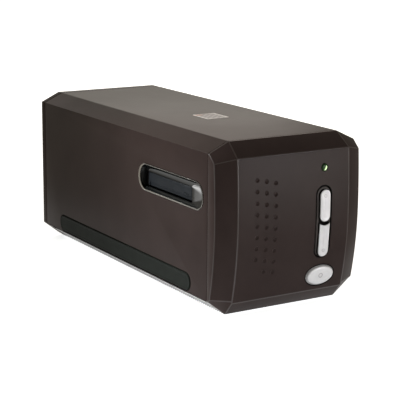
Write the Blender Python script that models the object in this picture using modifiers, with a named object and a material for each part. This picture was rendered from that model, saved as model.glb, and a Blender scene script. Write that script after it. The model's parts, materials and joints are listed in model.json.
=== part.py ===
"""Film negative scanner: a long box that scans film strips and slides in a sliding holder.

Metres, +Z up. The front panel faces -Y, the film holder passes through along X,
and the origin is the middle of the base, on the surface that the feet stand on.
"""
import math

import bmesh
import bpy
from mathutils import Matrix

ASSEMBLY = "film_negative_scanner"

# Whole body, without feet, pads and buttons
BODY_WIDTH = 0.1192
BODY_HEIGHT = 0.1193
BODY_DEPTH = 0.2749
TOP_CHAMFER_WIDTH = 0.0152
TOP_CHAMFER_HEIGHT = 0.0071
BASE_CHAMFER_WIDTH = 0.0141
BASE_CHAMFER_HEIGHT = 0.0111
CREASE_RADIUS = 0.003
WALL = 0.0024
SEAM = 0.0003
OVERRUN = 0.002
WELD = 0.000002
FOOT_HEIGHT = 0.0015
BUTTON_PROUD = 0.0018

# Places along the body that everything else is measured from
NOSE_Y = BUTTON_PROUD / 2 - BODY_DEPTH / 2
REAR_Y = NOSE_Y + BODY_DEPTH
BASE_Z = FOOT_HEIGHT
TOP_Z = BASE_Z + BODY_HEIGHT
SIDE_X = BODY_WIDTH / 2

# Front bezel: the panel's bow, its outline and the ridge at the sides
BEZEL_DEPTH = 0.016
BOW_HEIGHT_SHARE = 0.545
BOW_HEIGHT = BODY_HEIGHT * BOW_HEIGHT_SHARE
BOW_RADIUS_UPPER = 0.555
BOW_RADIUS_LOWER = 0.240
PANEL_SIDE_BEVEL = 0.014
PANEL_TOP_BEVEL = 0.0097
PANEL_BOTTOM = 0.0098
PANEL_WIDTH = BODY_WIDTH - 2 * PANEL_SIDE_BEVEL
PANEL_TOP = BODY_HEIGHT - PANEL_TOP_BEVEL
RIDGE_SETBACK = 0.0068
RIDGE_DROP = 0.013
RIDGE_TOP = BODY_HEIGHT - RIDGE_DROP
RIM_DEPTH = 0.001
BOW_STEPS = 12

# Rear cap and the seam between the upper cover and the bottom tray
REAR_CAP_DEPTH = 0.007
SIDE_SEAM_HEIGHT = 0.0113
FLOOR_WALL = 0.0022

# Film slot in both sides: outer lip, scoop and the mouth at its bottom
SLOT_LENGTH = 0.0888
SLOT_HEIGHT = 0.0197
SLOT_FRONT_BACK = 0.0211
SLOT_CENTRE_BACK = SLOT_FRONT_BACK + SLOT_LENGTH / 2
SLOT_HEIGHT_SHARE = 0.6806
SLOT_CENTRE_HEIGHT = BODY_HEIGHT * SLOT_HEIGHT_SHARE
TRIM_PROUD = 0.0003
TRIM_LIP = 0.0009
TRIM_FLANGE = 0.0015
SCOOP_DEPTH = 0.003
SCOOP_FRONT_RUN = 0.01925
SCOOP_REAR_RUN = 0.00605
SCOOP_TOP_RUN = 0.00585
SCOOP_BOTTOM_RUN = 0.00225
MOUTH_LENGTH = SLOT_LENGTH - SCOOP_FRONT_RUN - SCOOP_REAR_RUN
MOUTH_HEIGHT = SLOT_HEIGHT - SCOOP_TOP_RUN - SCOOP_BOTTOM_RUN
MOUTH_SHIFT_BACK = (SCOOP_FRONT_RUN - SCOOP_REAR_RUN) / 2
MOUTH_SHIFT_DOWN = (SCOOP_TOP_RUN - SCOOP_BOTTOM_RUN) / 2
MOUTH_CORNER = 0.0008
MOUTH_EDGE = 0.0012
SCOOP_STEPS = 4
ROUND_END_SHARE = 0.97
MOUTH_BACK = SLOT_CENTRE_BACK + MOUTH_SHIFT_BACK
MOUTH_CENTRE_HEIGHT = SLOT_CENTRE_HEIGHT - MOUTH_SHIFT_DOWN

# Dust doors behind the slot's mouth, their pins and springs
DOOR_SIDE_GAP = 0.0006
DOOR_REAR_GAP = 0.0029
DOOR_BOTTOM_GAP = 0.001
DOOR_THICKNESS = 0.0013
HINGE_RISE = 0.002
BARREL_RADIUS = 0.0012
PIN_RADIUS = 0.0006
PIN_HOLE_RADIUS = 0.0009
EAR_THICKNESS = 0.003
EAR_RADIUS = 0.002
SPRING_GAP = 0.0104
SPRING_COIL_RADIUS = 0.0012
SPRING_WIRE_RADIUS = 0.0002
SPRING_TURNS = 5
SPRING_PITCH = 0.0012

# Film guide and the lamp over it
GUIDE_WALL = 0.002
RAIL_SIDE_ROOM = 0.022
RAIL_RUN = BODY_WIDTH - 2 * RAIL_SIDE_ROOM
FILM_WINDOW_LENGTH = 0.038
FILM_WINDOW_WIDTH = 0.027
CHANNEL_FLOOR_STEP = 0.0002
CHANNEL_ROOF_STEP = 0.0001
CHANNEL_DROP = MOUTH_HEIGHT / 2 + CHANNEL_FLOOR_STEP
CHANNEL_RISE = MOUTH_HEIGHT / 2 - CHANNEL_ROOF_STEP
GUIDE_WIDTH = MOUTH_LENGTH + 2 * GUIDE_WALL
GUIDE_UNDERSIDE = MOUTH_CENTRE_HEIGHT - CHANNEL_DROP - GUIDE_WALL
LAMP_BASE = MOUTH_CENTRE_HEIGHT + CHANNEL_RISE + GUIDE_WALL + 2 * SEAM
LAMP_LENGTH = 0.064
LAMP_EDGE_STEP = 0.00575
LAMP_WIDTH = GUIDE_WIDTH - 2 * LAMP_EDGE_STEP
LAMP_HEADROOM = 0.0035
LAMP_HEIGHT = BODY_HEIGHT - WALL - LAMP_HEADROOM - LAMP_BASE
LAMP_WALL = 0.0016
BOARD_THICKNESS = 0.0016
DIFFUSER_LENGTH = 0.046
DIFFUSER_WIDTH = 0.036
DIFFUSER_THICKNESS = 0.002

# Scan chassis, rods and drive
CHASSIS_SIDE_ROOM = 0.0119
CHASSIS_WIDTH = BODY_WIDTH - 2 * CHASSIS_SIDE_ROOM
CHASSIS_FRONT_BACK = 0.026
CHASSIS_REAR_ROOM = 0.0675
CHASSIS_LENGTH = BODY_DEPTH - CHASSIS_FRONT_BACK - CHASSIS_REAR_ROOM
CHASSIS_PLATE = 0.0025
CHASSIS_HEIGHT_SHARE = 0.1676
CHASSIS_PLATE_HEIGHT = BODY_HEIGHT * CHASSIS_HEIGHT_SHARE
CHASSIS_END_WALL = 0.003
GUIDE_WALL_SPARE = 0.00225
GUIDE_WALL_RUN = GUIDE_WIDTH + 2 * GUIDE_WALL_SPARE
LEG_SIZE = 0.008
LEG_SIDE_FRONT = 0.0236
LEG_SIDE_REAR = 0.0296
LEG_SPAN_FRONT = BODY_WIDTH - 2 * LEG_SIDE_FRONT
LEG_SPAN_REAR = BODY_WIDTH - 2 * LEG_SIDE_REAR
LEG_INSET_FRONT = 0.022
LEG_INSET_REAR = 0.009
LEG_BACK_FRONT = CHASSIS_FRONT_BACK + LEG_INSET_FRONT
LEG_BACK_REAR = CHASSIS_FRONT_BACK + CHASSIS_LENGTH - LEG_INSET_REAR
ROD_RADIUS = 0.0025
ROD_HEIGHT_SHARE = 0.2682
ROD_HEIGHT = BODY_HEIGHT * ROD_HEIGHT_SHARE
SCREW_HEIGHT_SHARE = 0.2515
SCREW_HEIGHT = BODY_HEIGHT * SCREW_HEIGHT_SHARE
LEAD_SCREW_RADIUS = 0.0025
MOTOR_RADIUS = 0.0125
MOTOR_LENGTH = 0.0165
MOTOR_FLANGE_SIZE = 0.030
MOTOR_FLANGE_THICKNESS = 0.002
MOTOR_SOCKET_DEPTH = 0.008

# Scan carriage at the front end of its travel
CARRIAGE_TRAVEL = 0.030
CARRIAGE_SIDE_ROOM = 0.0077
CARRIAGE_WIDTH = CHASSIS_WIDTH - 2 * CARRIAGE_SIDE_ROOM
CARRIAGE_FRONT_ROOM = 0.012
CARRIAGE_REAR_ROOM = 0.039
CARRIAGE_FRONT_BACK = CHASSIS_FRONT_BACK + CARRIAGE_FRONT_ROOM
CARRIAGE_LENGTH = CHASSIS_LENGTH - CARRIAGE_FRONT_ROOM - CARRIAGE_REAR_ROOM
CARRIAGE_HEIGHT_SHARE = 0.3185
CARRIAGE_FLOOR_HEIGHT = BODY_HEIGHT * CARRIAGE_HEIGHT_SHARE
CARRIAGE_WALL = 0.0025
CARRIAGE_LID = 0.002
CARRIAGE_HEADROOM = 0.003
CARRIAGE_TOP = GUIDE_UNDERSIDE - CARRIAGE_HEADROOM - CARRIAGE_LID - SEAM
SLIT_BACK = MOUTH_BACK - CARRIAGE_TRAVEL / 2
SLIT_WIDTH = 0.004
SLIT_LENGTH = 0.040
ROD_INSET = 0.0066
ROD_SPAN = CARRIAGE_WIDTH - 2 * ROD_INSET
BEARING_WIDTH = 0.012
BEARING_LENGTH = 0.012
BEARING_INSET = 0.004
MIRROR_FACE = 0.018
MIRROR_THICKNESS = 0.002
MIRROR_TILT_DEGREES = 45
LENS_RADIUS = 0.0085
LENS_LENGTH = 0.026
LENS_BORE_RADIUS = 0.0068
LENS_GLASS_INSET = 0.002
LENS_GLASS_THICKNESS = 0.003
LENS_EDGE_SHARE = 0.25
LENS_PLACE_SHARE = 0.58
LENS_CENTRE_BACK = CARRIAGE_FRONT_BACK + CARRIAGE_LENGTH * LENS_PLACE_SHARE
SENSOR_BOARD_SIDE_ROOM = 0.010
SENSOR_BOARD_WIDTH = CARRIAGE_WIDTH - 2 * SENSOR_BOARD_SIDE_ROOM
SENSOR_BOARD_HEIGHT = 0.017
SENSOR_LENGTH = 0.042
SENSOR_HEIGHT = 0.010
SENSOR_THICKNESS = 0.003
NUT_SIZE = 0.010
NUT_LENGTH = 0.010
NUT_INSET = 0.050
NUT_BACK = CARRIAGE_FRONT_BACK + NUT_INSET

# Bottom tray: screw bosses and board posts
CASE_BOSS_RADIUS = 0.0055
CASE_BOSS_HEIGHT = 0.006
SCREW_HEAD_RADIUS = 0.003
SCREW_HEAD_HEIGHT = 0.002
SCREW_SLOT_WIDTH = 0.001
SCREW_SHANK_RADIUS = 0.0014
CASE_SCREW_LENGTH = 0.010
BOARD_POST_RADIUS = 0.0035
BOARD_POST_HEIGHT = 0.0077
BOARD_SCREW_LENGTH = 0.005
FOOT_RADIUS = 0.006
FOOT_SIDE_INSET = 0.0276
FOOT_SPAN = BODY_WIDTH - 2 * FOOT_SIDE_INSET
FOOT_SEAT = 0.0008
FOOT_INSET_FRONT = 0.030
FOOT_INSET_REAR = 0.023
FOOT_EDGE = 0.0004

# Main board and the sockets at the rear
MAIN_BOARD_SIDE_ROOM = 0.0136
MAIN_BOARD_WIDTH = BODY_WIDTH - 2 * MAIN_BOARD_SIDE_ROOM
MAIN_BOARD_REAR_ROOM = 0.0109
MAIN_BOARD_LENGTH_SHARE = 0.531
MAIN_BOARD_LENGTH = BODY_DEPTH * MAIN_BOARD_LENGTH_SHARE
MAIN_BOARD_FRONT_BACK = BODY_DEPTH - MAIN_BOARD_REAR_ROOM - MAIN_BOARD_LENGTH
BOARD_SCREW_INSET = 0.006
BOARD_SCREW_SIDE = 0.004
BOARD_SCREW_SPAN = MAIN_BOARD_WIDTH - 2 * BOARD_SCREW_SIDE
PROCESSOR_SIZE = 0.024
PROCESSOR_THICKNESS = 0.002
PROCESSOR_INSET = 0.032
PROCESSOR_BACK = MAIN_BOARD_FRONT_BACK + PROCESSOR_INSET
SOCKET_RUN_IN = 0.014
USB_WIDTH = 0.012
USB_HEIGHT = 0.0109
USB_MOUTH_WIDTH = 0.0085
USB_MOUTH_HEIGHT = 0.0078
USB_MOUTH_DEPTH = 0.011
USB_TONGUE_WIDTH = 0.0056
USB_TONGUE_HEIGHT = 0.0032
USB_TONGUE_LENGTH = 0.0055
USB_SIDE = 0.0376
USB_X = USB_SIDE - SIDE_X
JACK_WIDTH = 0.011
JACK_HEIGHT = 0.011
JACK_BORE_RADIUS = 0.0033
JACK_BORE_DEPTH = 0.011
JACK_PIN_RADIUS = 0.001
JACK_PIN_LENGTH = 0.0055
JACK_SIDE = 0.0656
JACK_X = JACK_SIDE - SIDE_X
VENT_WIDTH = 0.0022
VENT_HEIGHT = 0.024
VENT_PITCH = 0.006
VENT_COUNT = 7
VENT_DROP = 0.0443
VENT_CENTRE_HEIGHT = BODY_HEIGHT - VENT_DROP

# Controls on the front panel
CONTROL_SIDE = 0.0349
CONTROL_X = SIDE_X - CONTROL_SIDE
SCAN_BUTTON_WIDTH = 0.0083
SCAN_BUTTON_DROP = 0.037
SCAN_BUTTON_TOP = BODY_HEIGHT - SCAN_BUTTON_DROP
SCAN_BUTTON_BOTTOM = 0.0349
SCAN_SPLIT_SHARE = 0.53
SCAN_BUTTON_SPLIT = SCAN_BUTTON_BOTTOM + (SCAN_BUTTON_TOP - SCAN_BUTTON_BOTTOM) * SCAN_SPLIT_SHARE
RECESS_WIDTH = 0.0131
RECESS_OVER_TOP = 0.0031
RECESS_UNDER_BOTTOM = 0.0014
RECESS_TOP = SCAN_BUTTON_TOP + RECESS_OVER_TOP
RECESS_BOTTOM = SCAN_BUTTON_BOTTOM - RECESS_UNDER_BOTTOM
RECESS_DEPTH = 0.0015
RECESS_WALL = 0.0016
RECESS_BACK = 0.0052
BUTTON_CLEARANCE = 0.0003
BUTTON_SPLIT_GAP = 0.0027
BUTTON_EDGE = 0.0008
BUTTON_TRAVEL = 0.001
BUTTON_FLANGE = 0.0008
BUTTON_FLANGE_THICKNESS = 0.001
POWER_SHIFT = 0.0005
POWER_X = CONTROL_X + POWER_SHIFT
POWER_HEIGHT = 0.0207
POWER_WIDTH = 0.0216
POWER_DEPTH = 0.013
POWER_RING = 0.0018
POWER_BACK = 0.0088
LIGHT_DROP = 0.0219
LIGHT_HEIGHT = BODY_HEIGHT - LIGHT_DROP
LIGHT_RADIUS = 0.0018
SWITCH_SIZE = 0.006
SWITCH_DEPTH = 0.0028
BUTTON_BOARD_BACK = 0.016
SWITCH_FACE_BACK = BUTTON_BOARD_BACK - BOARD_THICKNESS - SEAM - SWITCH_DEPTH
BUTTON_TAIL_BACK = SWITCH_FACE_BACK - BUTTON_TRAVEL - SEAM
BUTTON_BOARD_SIDE = 0.0142
BUTTON_BOARD_BOTTOM = 0.012
BUTTON_BOARD_OVER_LIGHT = 0.0056
BUTTON_BOARD_TOP = LIGHT_HEIGHT + BUTTON_BOARD_OVER_LIGHT
PANEL_POST_RADIUS = 0.0022
PANEL_POST_SIDE = 0.0112
PANEL_POST_INSET_LOW = 0.0065
PANEL_POST_INSET_HIGH = 0.0014
PANEL_POST_LOW = RECESS_BOTTOM + PANEL_POST_INSET_LOW
PANEL_POST_HIGH = RECESS_TOP - PANEL_POST_INSET_HIGH
LIGHT_CHIP_SIZE = 0.003
LIGHT_CHIP_DEPTH = 0.0016

# Dimples in three staggered columns on the panel
DIMPLE_MOUTH_RADIUS = 0.002
DIMPLE_FLOOR_RADIUS = 0.0007
DIMPLE_DEPTH = 0.0009
DIMPLE_SIDE = 0.0293
DIMPLE_COLUMN_X = DIMPLE_SIDE - SIDE_X
DIMPLE_COLUMN_PITCH = 0.0074
DIMPLE_TOP_DROP = 0.0252
DIMPLE_TOP = BODY_HEIGHT - DIMPLE_TOP_DROP
DIMPLE_BOTTOM = 0.0317
DIMPLE_STAGGER = 0.0016
DIMPLE_ROWS = (8, 9, 9)
DIMPLE_PITCH = (DIMPLE_TOP - DIMPLE_BOTTOM) / (DIMPLE_ROWS[-1] - 1)

# Rubber pads along the lower sides
PAD_FRONT_BACK = 0.0373
PAD_REAR_ROOM = 0.0338
PAD_LENGTH = BODY_DEPTH - PAD_FRONT_BACK - PAD_REAR_ROOM
PAD_BOTTOM = 0.0123
PAD_HEIGHT = 0.0121
PAD_SEAT = 0.001
PAD_PROUD = 0.0005

# Home sensor beside the carriage
HOME_SENSOR_WIDTH = 0.004
HOME_SENSOR_LENGTH = 0.008
HOME_SENSOR_HEIGHT = 0.010

COARSE_SIDES = 12
DIMPLE_SIDES = 10
FINE_SIDES = 24
SPRING_TURN_SIDES = 10
ROUND_STEPS = 6
CREASE_STEPS = 3
SMOOTHING_DEGREES = 35

LIFT_TO_Y = Matrix.Rotation(math.pi / 2, 4, "X")
LIFT_TO_X = Matrix(((0, 0, 1, 0), (1, 0, 0, 0), (0, 1, 0, 0), (0, 0, 0, 1)))
LIFTS = {"X": LIFT_TO_X, "Y": LIFT_TO_Y, "Z": Matrix.Identity(4)}


def from_nose(distance):
    """Y of a place at a distance behind the foremost point of the front panel."""
    return NOSE_Y + distance


def from_base(height):
    """Z of a place at a height above the underside of the body."""
    return BASE_Z + height


def bow(height):
    """How far the bowed front panel falls back behind its nose at a height."""
    away = height - BOW_HEIGHT
    radius = BOW_RADIUS_UPPER if away > 0 else BOW_RADIUS_LOWER
    return away * away / (2 * radius)


def new_collection(name):
    group = bpy.data.collections.new(name)
    bpy.context.scene.collection.children.link(group)
    return group


def clear_scene():
    for item in list(bpy.data.objects):
        bpy.data.objects.remove(item, do_unlink=True)


clear_scene()
PARTS = new_collection(ASSEMBLY)
CUTTERS = new_collection("cutters")


# Materials

def finish(name, colour, roughness, metallic):
    surface = bpy.data.materials.new(name)
    surface.use_nodes = True
    shader = surface.node_tree.nodes["Principled BSDF"]
    shader.inputs["Base Color"].default_value = (*colour, 1.0)
    shader.inputs["Roughness"].default_value = roughness
    shader.inputs["Metallic"].default_value = metallic
    return surface


FINISHES = {
    "brown_paint": ((0.055, 0.042, 0.038), 0.42, 0.25),
    "grey_plastic": ((0.50, 0.50, 0.49), 0.45, 0.0),
    "black_gloss": ((0.012, 0.013, 0.014), 0.12, 0.0),
    "black_plastic": ((0.02, 0.02, 0.02), 0.5, 0.0),
    "silver_paint": ((0.60, 0.60, 0.62), 0.30, 0.4),
    "rubber": ((0.016, 0.018, 0.016), 0.75, 0.0),
    "steel": ((0.55, 0.55, 0.56), 0.28, 1.0),
    "circuit_board": ((0.02, 0.12, 0.05), 0.45, 0.0),
    "chip": ((0.015, 0.015, 0.016), 0.4, 0.0),
    "glass": ((0.75, 0.85, 0.88), 0.05, 0.0),
    "diffuser": ((0.85, 0.85, 0.83), 0.6, 0.0),
    "light_pipe": ((0.10, 0.55, 0.12), 0.15, 0.0),
}


# Meshes

def mesh_from(bm, name):
    mesh = bpy.data.meshes.new(name)
    bmesh.ops.recalc_face_normals(bm, faces=bm.faces)
    bm.to_mesh(mesh)
    bm.free()
    return mesh


def box_mesh(size):
    bm = bmesh.new()
    bmesh.ops.create_cube(bm, size=1.0)
    bmesh.ops.scale(bm, vec=size, verts=bm.verts)
    return mesh_from(bm, "box")


def round_mesh(radius, length, axis, sides=FINE_SIDES, tip=None):
    """Cylinder or cone centred on its own axis; tip is the radius at its far end."""
    bm = bmesh.new()
    far = radius if tip is None else tip
    bmesh.ops.create_cone(bm, cap_ends=True, segments=sides, radius1=radius, radius2=far, depth=length)
    bmesh.ops.transform(bm, matrix=LIFTS[axis], verts=bm.verts)
    return mesh_from(bm, "round")


def flat_mesh(points, thickness, axis, edge=0):
    """Solid of a flat outline, centred on the plane of its points, with edges rounded by edge."""
    curve = bpy.data.curves.new("outline", "CURVE")
    curve.dimensions = "2D"
    curve.fill_mode = "BOTH"
    curve.extrude = thickness / 2 - edge
    curve.bevel_depth = edge
    curve.bevel_resolution = 1
    curve.offset = -edge
    spline = curve.splines.new("POLY")
    spline.points.add(len(points) - 1)
    for point, (across, up) in zip(spline.points, points):
        point.co = (across, up, 0, 1)
    spline.use_cyclic_u = True
    carrier = bpy.data.objects.new("outline", curve)
    bpy.context.scene.collection.objects.link(carrier)
    graph = bpy.context.evaluated_depsgraph_get()
    mesh = bpy.data.meshes.new_from_object(carrier.evaluated_get(graph))
    bpy.data.objects.remove(carrier, do_unlink=True)
    bpy.data.curves.remove(curve)
    bm = bmesh.new()
    bm.from_mesh(mesh)
    bmesh.ops.remove_doubles(bm, verts=bm.verts, dist=WELD)
    bmesh.ops.transform(bm, matrix=LIFTS[axis], verts=bm.verts)
    return mesh_from(bm, "flat")


def ring_mesh(rings, endless=False):
    """Loft through rings of matching points: capped at both ends, or closed on itself."""
    bm = bmesh.new()
    loops = [[bm.verts.new(point) for point in ring] for ring in rings]
    pairs = list(zip(loops, loops[1:]))
    if endless:
        pairs.append((loops[-1], loops[0]))
    for first, second in pairs:
        count = len(first)
        for index in range(count):
            after = (index + 1) % count
            bm.faces.new((first[index], first[after], second[after], second[index]))
    if not endless:
        bm.faces.new(loops[0])
        bm.faces.new(loops[-1])
    return mesh_from(bm, "loft")


def repeated_mesh(mesh, places):
    """One mesh that holds a copy of a mesh at each place."""
    bm = bmesh.new()
    for place in places:
        known = set(bm.verts)
        bm.from_mesh(mesh)
        fresh = [vert for vert in bm.verts if vert not in known]
        bmesh.ops.translate(bm, vec=place, verts=fresh)
    return mesh_from(bm, "repeated")


# Objects

def part(name, mesh, place, surface):
    """A piece of the scanner, with a material of its own."""
    item = bpy.data.objects.new(name, mesh)
    item.location = place
    PARTS.objects.link(item)
    item.data.materials.clear()
    item.data.materials.append(finish(name, *FINISHES[surface]))
    return item


def cutter(name, mesh, place):
    """A guide shape that cuts or joins a piece and isn't part of the model."""
    item = bpy.data.objects.new(name, mesh)
    item.location = place
    item.hide_render = True
    item.display_type = "WIRE"
    CUTTERS.objects.link(item)
    return item


def combine(target, tool, operation):
    step = target.modifiers.new(tool.name, "BOOLEAN")
    step.operation = operation
    step.solver = "EXACT"
    step.object = tool


def cut(target, name, mesh, place):
    combine(target, cutter(name, mesh, place), "DIFFERENCE")


def fuse(target, name, mesh, place):
    combine(target, cutter(name, mesh, place), "UNION")


def round_off(item, width, segments):
    step = item.modifiers.new("edges", "BEVEL")
    step.width = width
    step.segments = segments
    step.limit_method = "ANGLE"
    return step


def smooth(item):
    item.data.shade_smooth()
    item.data.set_sharp_from_angle(angle=math.radians(SMOOTHING_DEGREES))


def carry(name, place, items):
    """An empty on a joint's axis that carries the pieces of one moving body."""
    pivot = bpy.data.objects.new(name, None)
    pivot.location = place
    PARTS.objects.link(pivot)
    bpy.context.view_layer.update()
    for item in items:
        item.parent = pivot
        item.matrix_parent_inverse = pivot.matrix_world.inverted()


# Outlines

def rounded_box(length, height, radius, steps):
    """Rectangle with round corners, centred, anticlockwise from its lower right corner."""
    points = []
    for along, up, quarter in ((1, -1, -1), (1, 1, 0), (-1, 1, 1), (-1, -1, 2)):
        for step in range(steps + 1):
            turn = math.pi / 2 * (quarter + step / steps)
            points.append((along * (length / 2 - radius) + radius * math.cos(turn),
                           up * (height / 2 - radius) + radius * math.sin(turn)))
    return points


def stadium(length, height, steps=ROUND_STEPS):
    """Outline with round ends; its longer side may be either one."""
    return rounded_box(length, height, min(length, height) / 2 * ROUND_END_SHARE, steps)


def ellipse(width, height, sides):
    return [(width / 2 * math.cos(2 * math.pi * step / sides),
             height / 2 * math.sin(2 * math.pi * step / sides)) for step in range(sides)]


def shifted(points, across, up):
    return [(point[0] + across, point[1] + up) for point in points]


def body_outline(inset=0):
    """Chamfered outline of the body in X and Z, moved in by inset, anticlockwise from the base."""
    half = SIDE_X - inset
    low = from_base(inset)
    high = TOP_Z - inset
    top_slope = math.atan2(TOP_CHAMFER_HEIGHT, TOP_CHAMFER_WIDTH)
    base_slope = math.atan2(BASE_CHAMFER_HEIGHT, BASE_CHAMFER_WIDTH)
    top_x = SIDE_X - TOP_CHAMFER_WIDTH - inset * math.tan(top_slope / 2)
    top_z = TOP_Z - TOP_CHAMFER_HEIGHT - inset * math.tan((math.pi / 2 - top_slope) / 2)
    base_x = SIDE_X - BASE_CHAMFER_WIDTH - inset * math.tan(base_slope / 2)
    base_z = from_base(BASE_CHAMFER_HEIGHT + inset * math.tan((math.pi / 2 - base_slope) / 2))
    right = [(base_x, low), (half, base_z), (half, top_z), (top_x, high)]
    left = [(-across, up) for across, up in reversed(right)]
    return right + left


def chamfer_inner_x(inset, height):
    """Half width inside the base chamfer, moved in by inset, at a height."""
    low, corner = body_outline(inset)[:2]
    share = (from_base(height) - low[1]) / (corner[1] - low[1])
    return low[0] + (corner[0] - low[0]) * share


def softened(points, corners, radius, steps):
    """The outline with the corners of the given numbers rounded."""
    result = []
    for index, point in enumerate(points):
        if index not in corners:
            result.append(point)
            continue
        before = points[index - 1]
        after = points[(index + 1) % len(points)]
        arms = []
        for other in (before, after):
            run = math.hypot(other[0] - point[0], other[1] - point[1])
            arms.append(((other[0] - point[0]) / run, (other[1] - point[1]) / run))
        bend = math.acos(max(-1, min(1, arms[0][0] * arms[1][0] + arms[0][1] * arms[1][1])))
        reach = radius / math.tan(bend / 2)
        for step in range(steps + 1):
            share = step / steps
            near, far = (1 - share) ** 2, share ** 2
            result.append((point[0] + reach * (arms[0][0] * near + arms[1][0] * far),
                           point[1] + reach * (arms[0][1] * near + arms[1][1] * far)))
    return result


# Casing

def upper_cover():
    outer = softened(body_outline()[1:7], (2, 3), CREASE_RADIUS, CREASE_STEPS)
    inner = body_outline(WALL)[1:7]
    seam = from_base(SIDE_SEAM_HEIGHT)
    outer[0] = (SIDE_X, seam)
    outer[-1] = (-SIDE_X, seam)
    inner[0] = (SIDE_X - WALL, seam)
    inner[-1] = (WALL - SIDE_X, seam)
    front = from_nose(BEZEL_DEPTH)
    rear = REAR_Y - REAR_CAP_DEPTH - SEAM
    shell = part("upper_cover", flat_mesh(outer + inner[::-1], rear - front, "Y"),
                 (0, (front + rear) / 2, 0), "brown_paint")
    window = stadium(SLOT_LENGTH + 2 * SEAM, SLOT_HEIGHT + 2 * SEAM)
    cut(shell, "slot_window", flat_mesh(window, BODY_WIDTH + 2 * OVERRUN, "X"), slot_centre())
    for side in (-1, 1):
        seat = stadium(PAD_LENGTH + 2 * SEAM, PAD_HEIGHT + 2 * SEAM)
        depth = PAD_SEAT + OVERRUN
        cut(shell, f"pad_seat_{side}", flat_mesh(seat, depth, "X"),
            (side * (SIDE_X - PAD_SEAT + depth / 2), *pad_centre()))


def slot_centre():
    return (0, from_nose(SLOT_CENTRE_BACK), from_base(SLOT_CENTRE_HEIGHT))


def pad_centre():
    return (from_nose(PAD_FRONT_BACK + PAD_LENGTH / 2), from_base(PAD_BOTTOM + PAD_HEIGHT / 2))


def side_pads():
    thickness = PAD_SEAT - SEAM + PAD_PROUD
    for side, name in ((-1, "left_side_pad"), (1, "right_side_pad")):
        mesh = flat_mesh(stadium(PAD_LENGTH, PAD_HEIGHT), thickness, "X")
        part(name, mesh, (side * (SIDE_X + PAD_PROUD - thickness / 2), *pad_centre()), "rubber")


def case_screw_places():
    return [(side * span / 2, from_nose(back))
            for span, back in ((LEG_SPAN_FRONT, LEG_BACK_FRONT), (LEG_SPAN_REAR, LEG_BACK_REAR))
            for side in (-1, 1)]


def board_screw_places():
    front = from_nose(MAIN_BOARD_FRONT_BACK + BOARD_SCREW_INSET)
    rear = from_nose(MAIN_BOARD_FRONT_BACK + MAIN_BOARD_LENGTH - BOARD_SCREW_INSET)
    return [(-BOARD_SCREW_SPAN / 2, front), (BOARD_SCREW_SPAN / 2, front), (BOARD_SCREW_SPAN / 2, rear)]


def foot_places():
    return [(side * FOOT_SPAN / 2, along)
            for along in (from_nose(FOOT_INSET_FRONT), REAR_Y - FOOT_INSET_REAR)
            for side in (-1, 1)]


def bottom_tray():
    outer = body_outline()
    inner = body_outline(FLOOR_WALL)
    seam = SIDE_SEAM_HEIGHT - SEAM
    lip = min(SIDE_X, chamfer_inner_x(0, seam))
    lip_inner = min(SIDE_X - FLOOR_WALL, chamfer_inner_x(FLOOR_WALL, seam))
    right = [outer[0], (lip, from_base(seam)), (lip_inner, from_base(seam)), inner[0]]
    points = [outer[7]] + right + [inner[7], (-lip_inner, from_base(seam)), (-lip, from_base(seam))]
    front = from_nose(BEZEL_DEPTH)
    rear = REAR_Y - REAR_CAP_DEPTH - SEAM
    tray = part("bottom_tray", flat_mesh(points, rear - front, "Y"), (0, (front + rear) / 2, 0),
                "grey_plastic")
    sink = FLOOR_WALL / 2
    for number, (across, along) in enumerate(case_screw_places()):
        height = CASE_BOSS_HEIGHT - sink
        fuse(tray, f"case_boss_{number}", round_mesh(CASE_BOSS_RADIUS, height, "Z", COARSE_SIDES),
             (across, along, from_base(sink + height / 2)))
        head = SCREW_HEAD_HEIGHT + SEAM + OVERRUN
        cut(tray, f"head_seat_{number}",
            round_mesh(SCREW_HEAD_RADIUS + SEAM, head, "Z", COARSE_SIDES),
            (across, along, from_base(head / 2 - OVERRUN)))
        cut(tray, f"case_hole_{number}",
            round_mesh(SCREW_SHANK_RADIUS + SEAM, CASE_BOSS_HEIGHT + 2 * OVERRUN, "Z", COARSE_SIDES),
            (across, along, from_base(CASE_BOSS_HEIGHT / 2)))
    for number, (across, along) in enumerate(board_screw_places()):
        height = BOARD_POST_HEIGHT - sink
        fuse(tray, f"board_post_{number}", round_mesh(BOARD_POST_RADIUS, height, "Z", COARSE_SIDES),
             (across, along, from_base(sink + height / 2)))
        depth = BOARD_SCREW_LENGTH + SEAM + OVERRUN
        cut(tray, f"board_hole_{number}",
            round_mesh(SCREW_SHANK_RADIUS + SEAM, depth, "Z", COARSE_SIDES),
            (across, along, from_base(BOARD_POST_HEIGHT + OVERRUN - depth / 2)))
    for number, (across, along) in enumerate(foot_places()):
        depth = FOOT_SEAT + OVERRUN
        cut(tray, f"foot_seat_{number}", round_mesh(FOOT_RADIUS + SEAM, depth, "Z"),
            (across, along, from_base(FOOT_SEAT - depth / 2)))


def feet():
    names = ("front_left_foot", "front_right_foot", "rear_left_foot", "rear_right_foot")
    height = FOOT_HEIGHT + FOOT_SEAT - SEAM
    for name, (across, along) in zip(names, foot_places()):
        foot = part(name, round_mesh(FOOT_RADIUS, height, "Z"), (across, along, height / 2), "rubber")
        round_off(foot, FOOT_EDGE, 1)
        smooth(foot)


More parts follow.
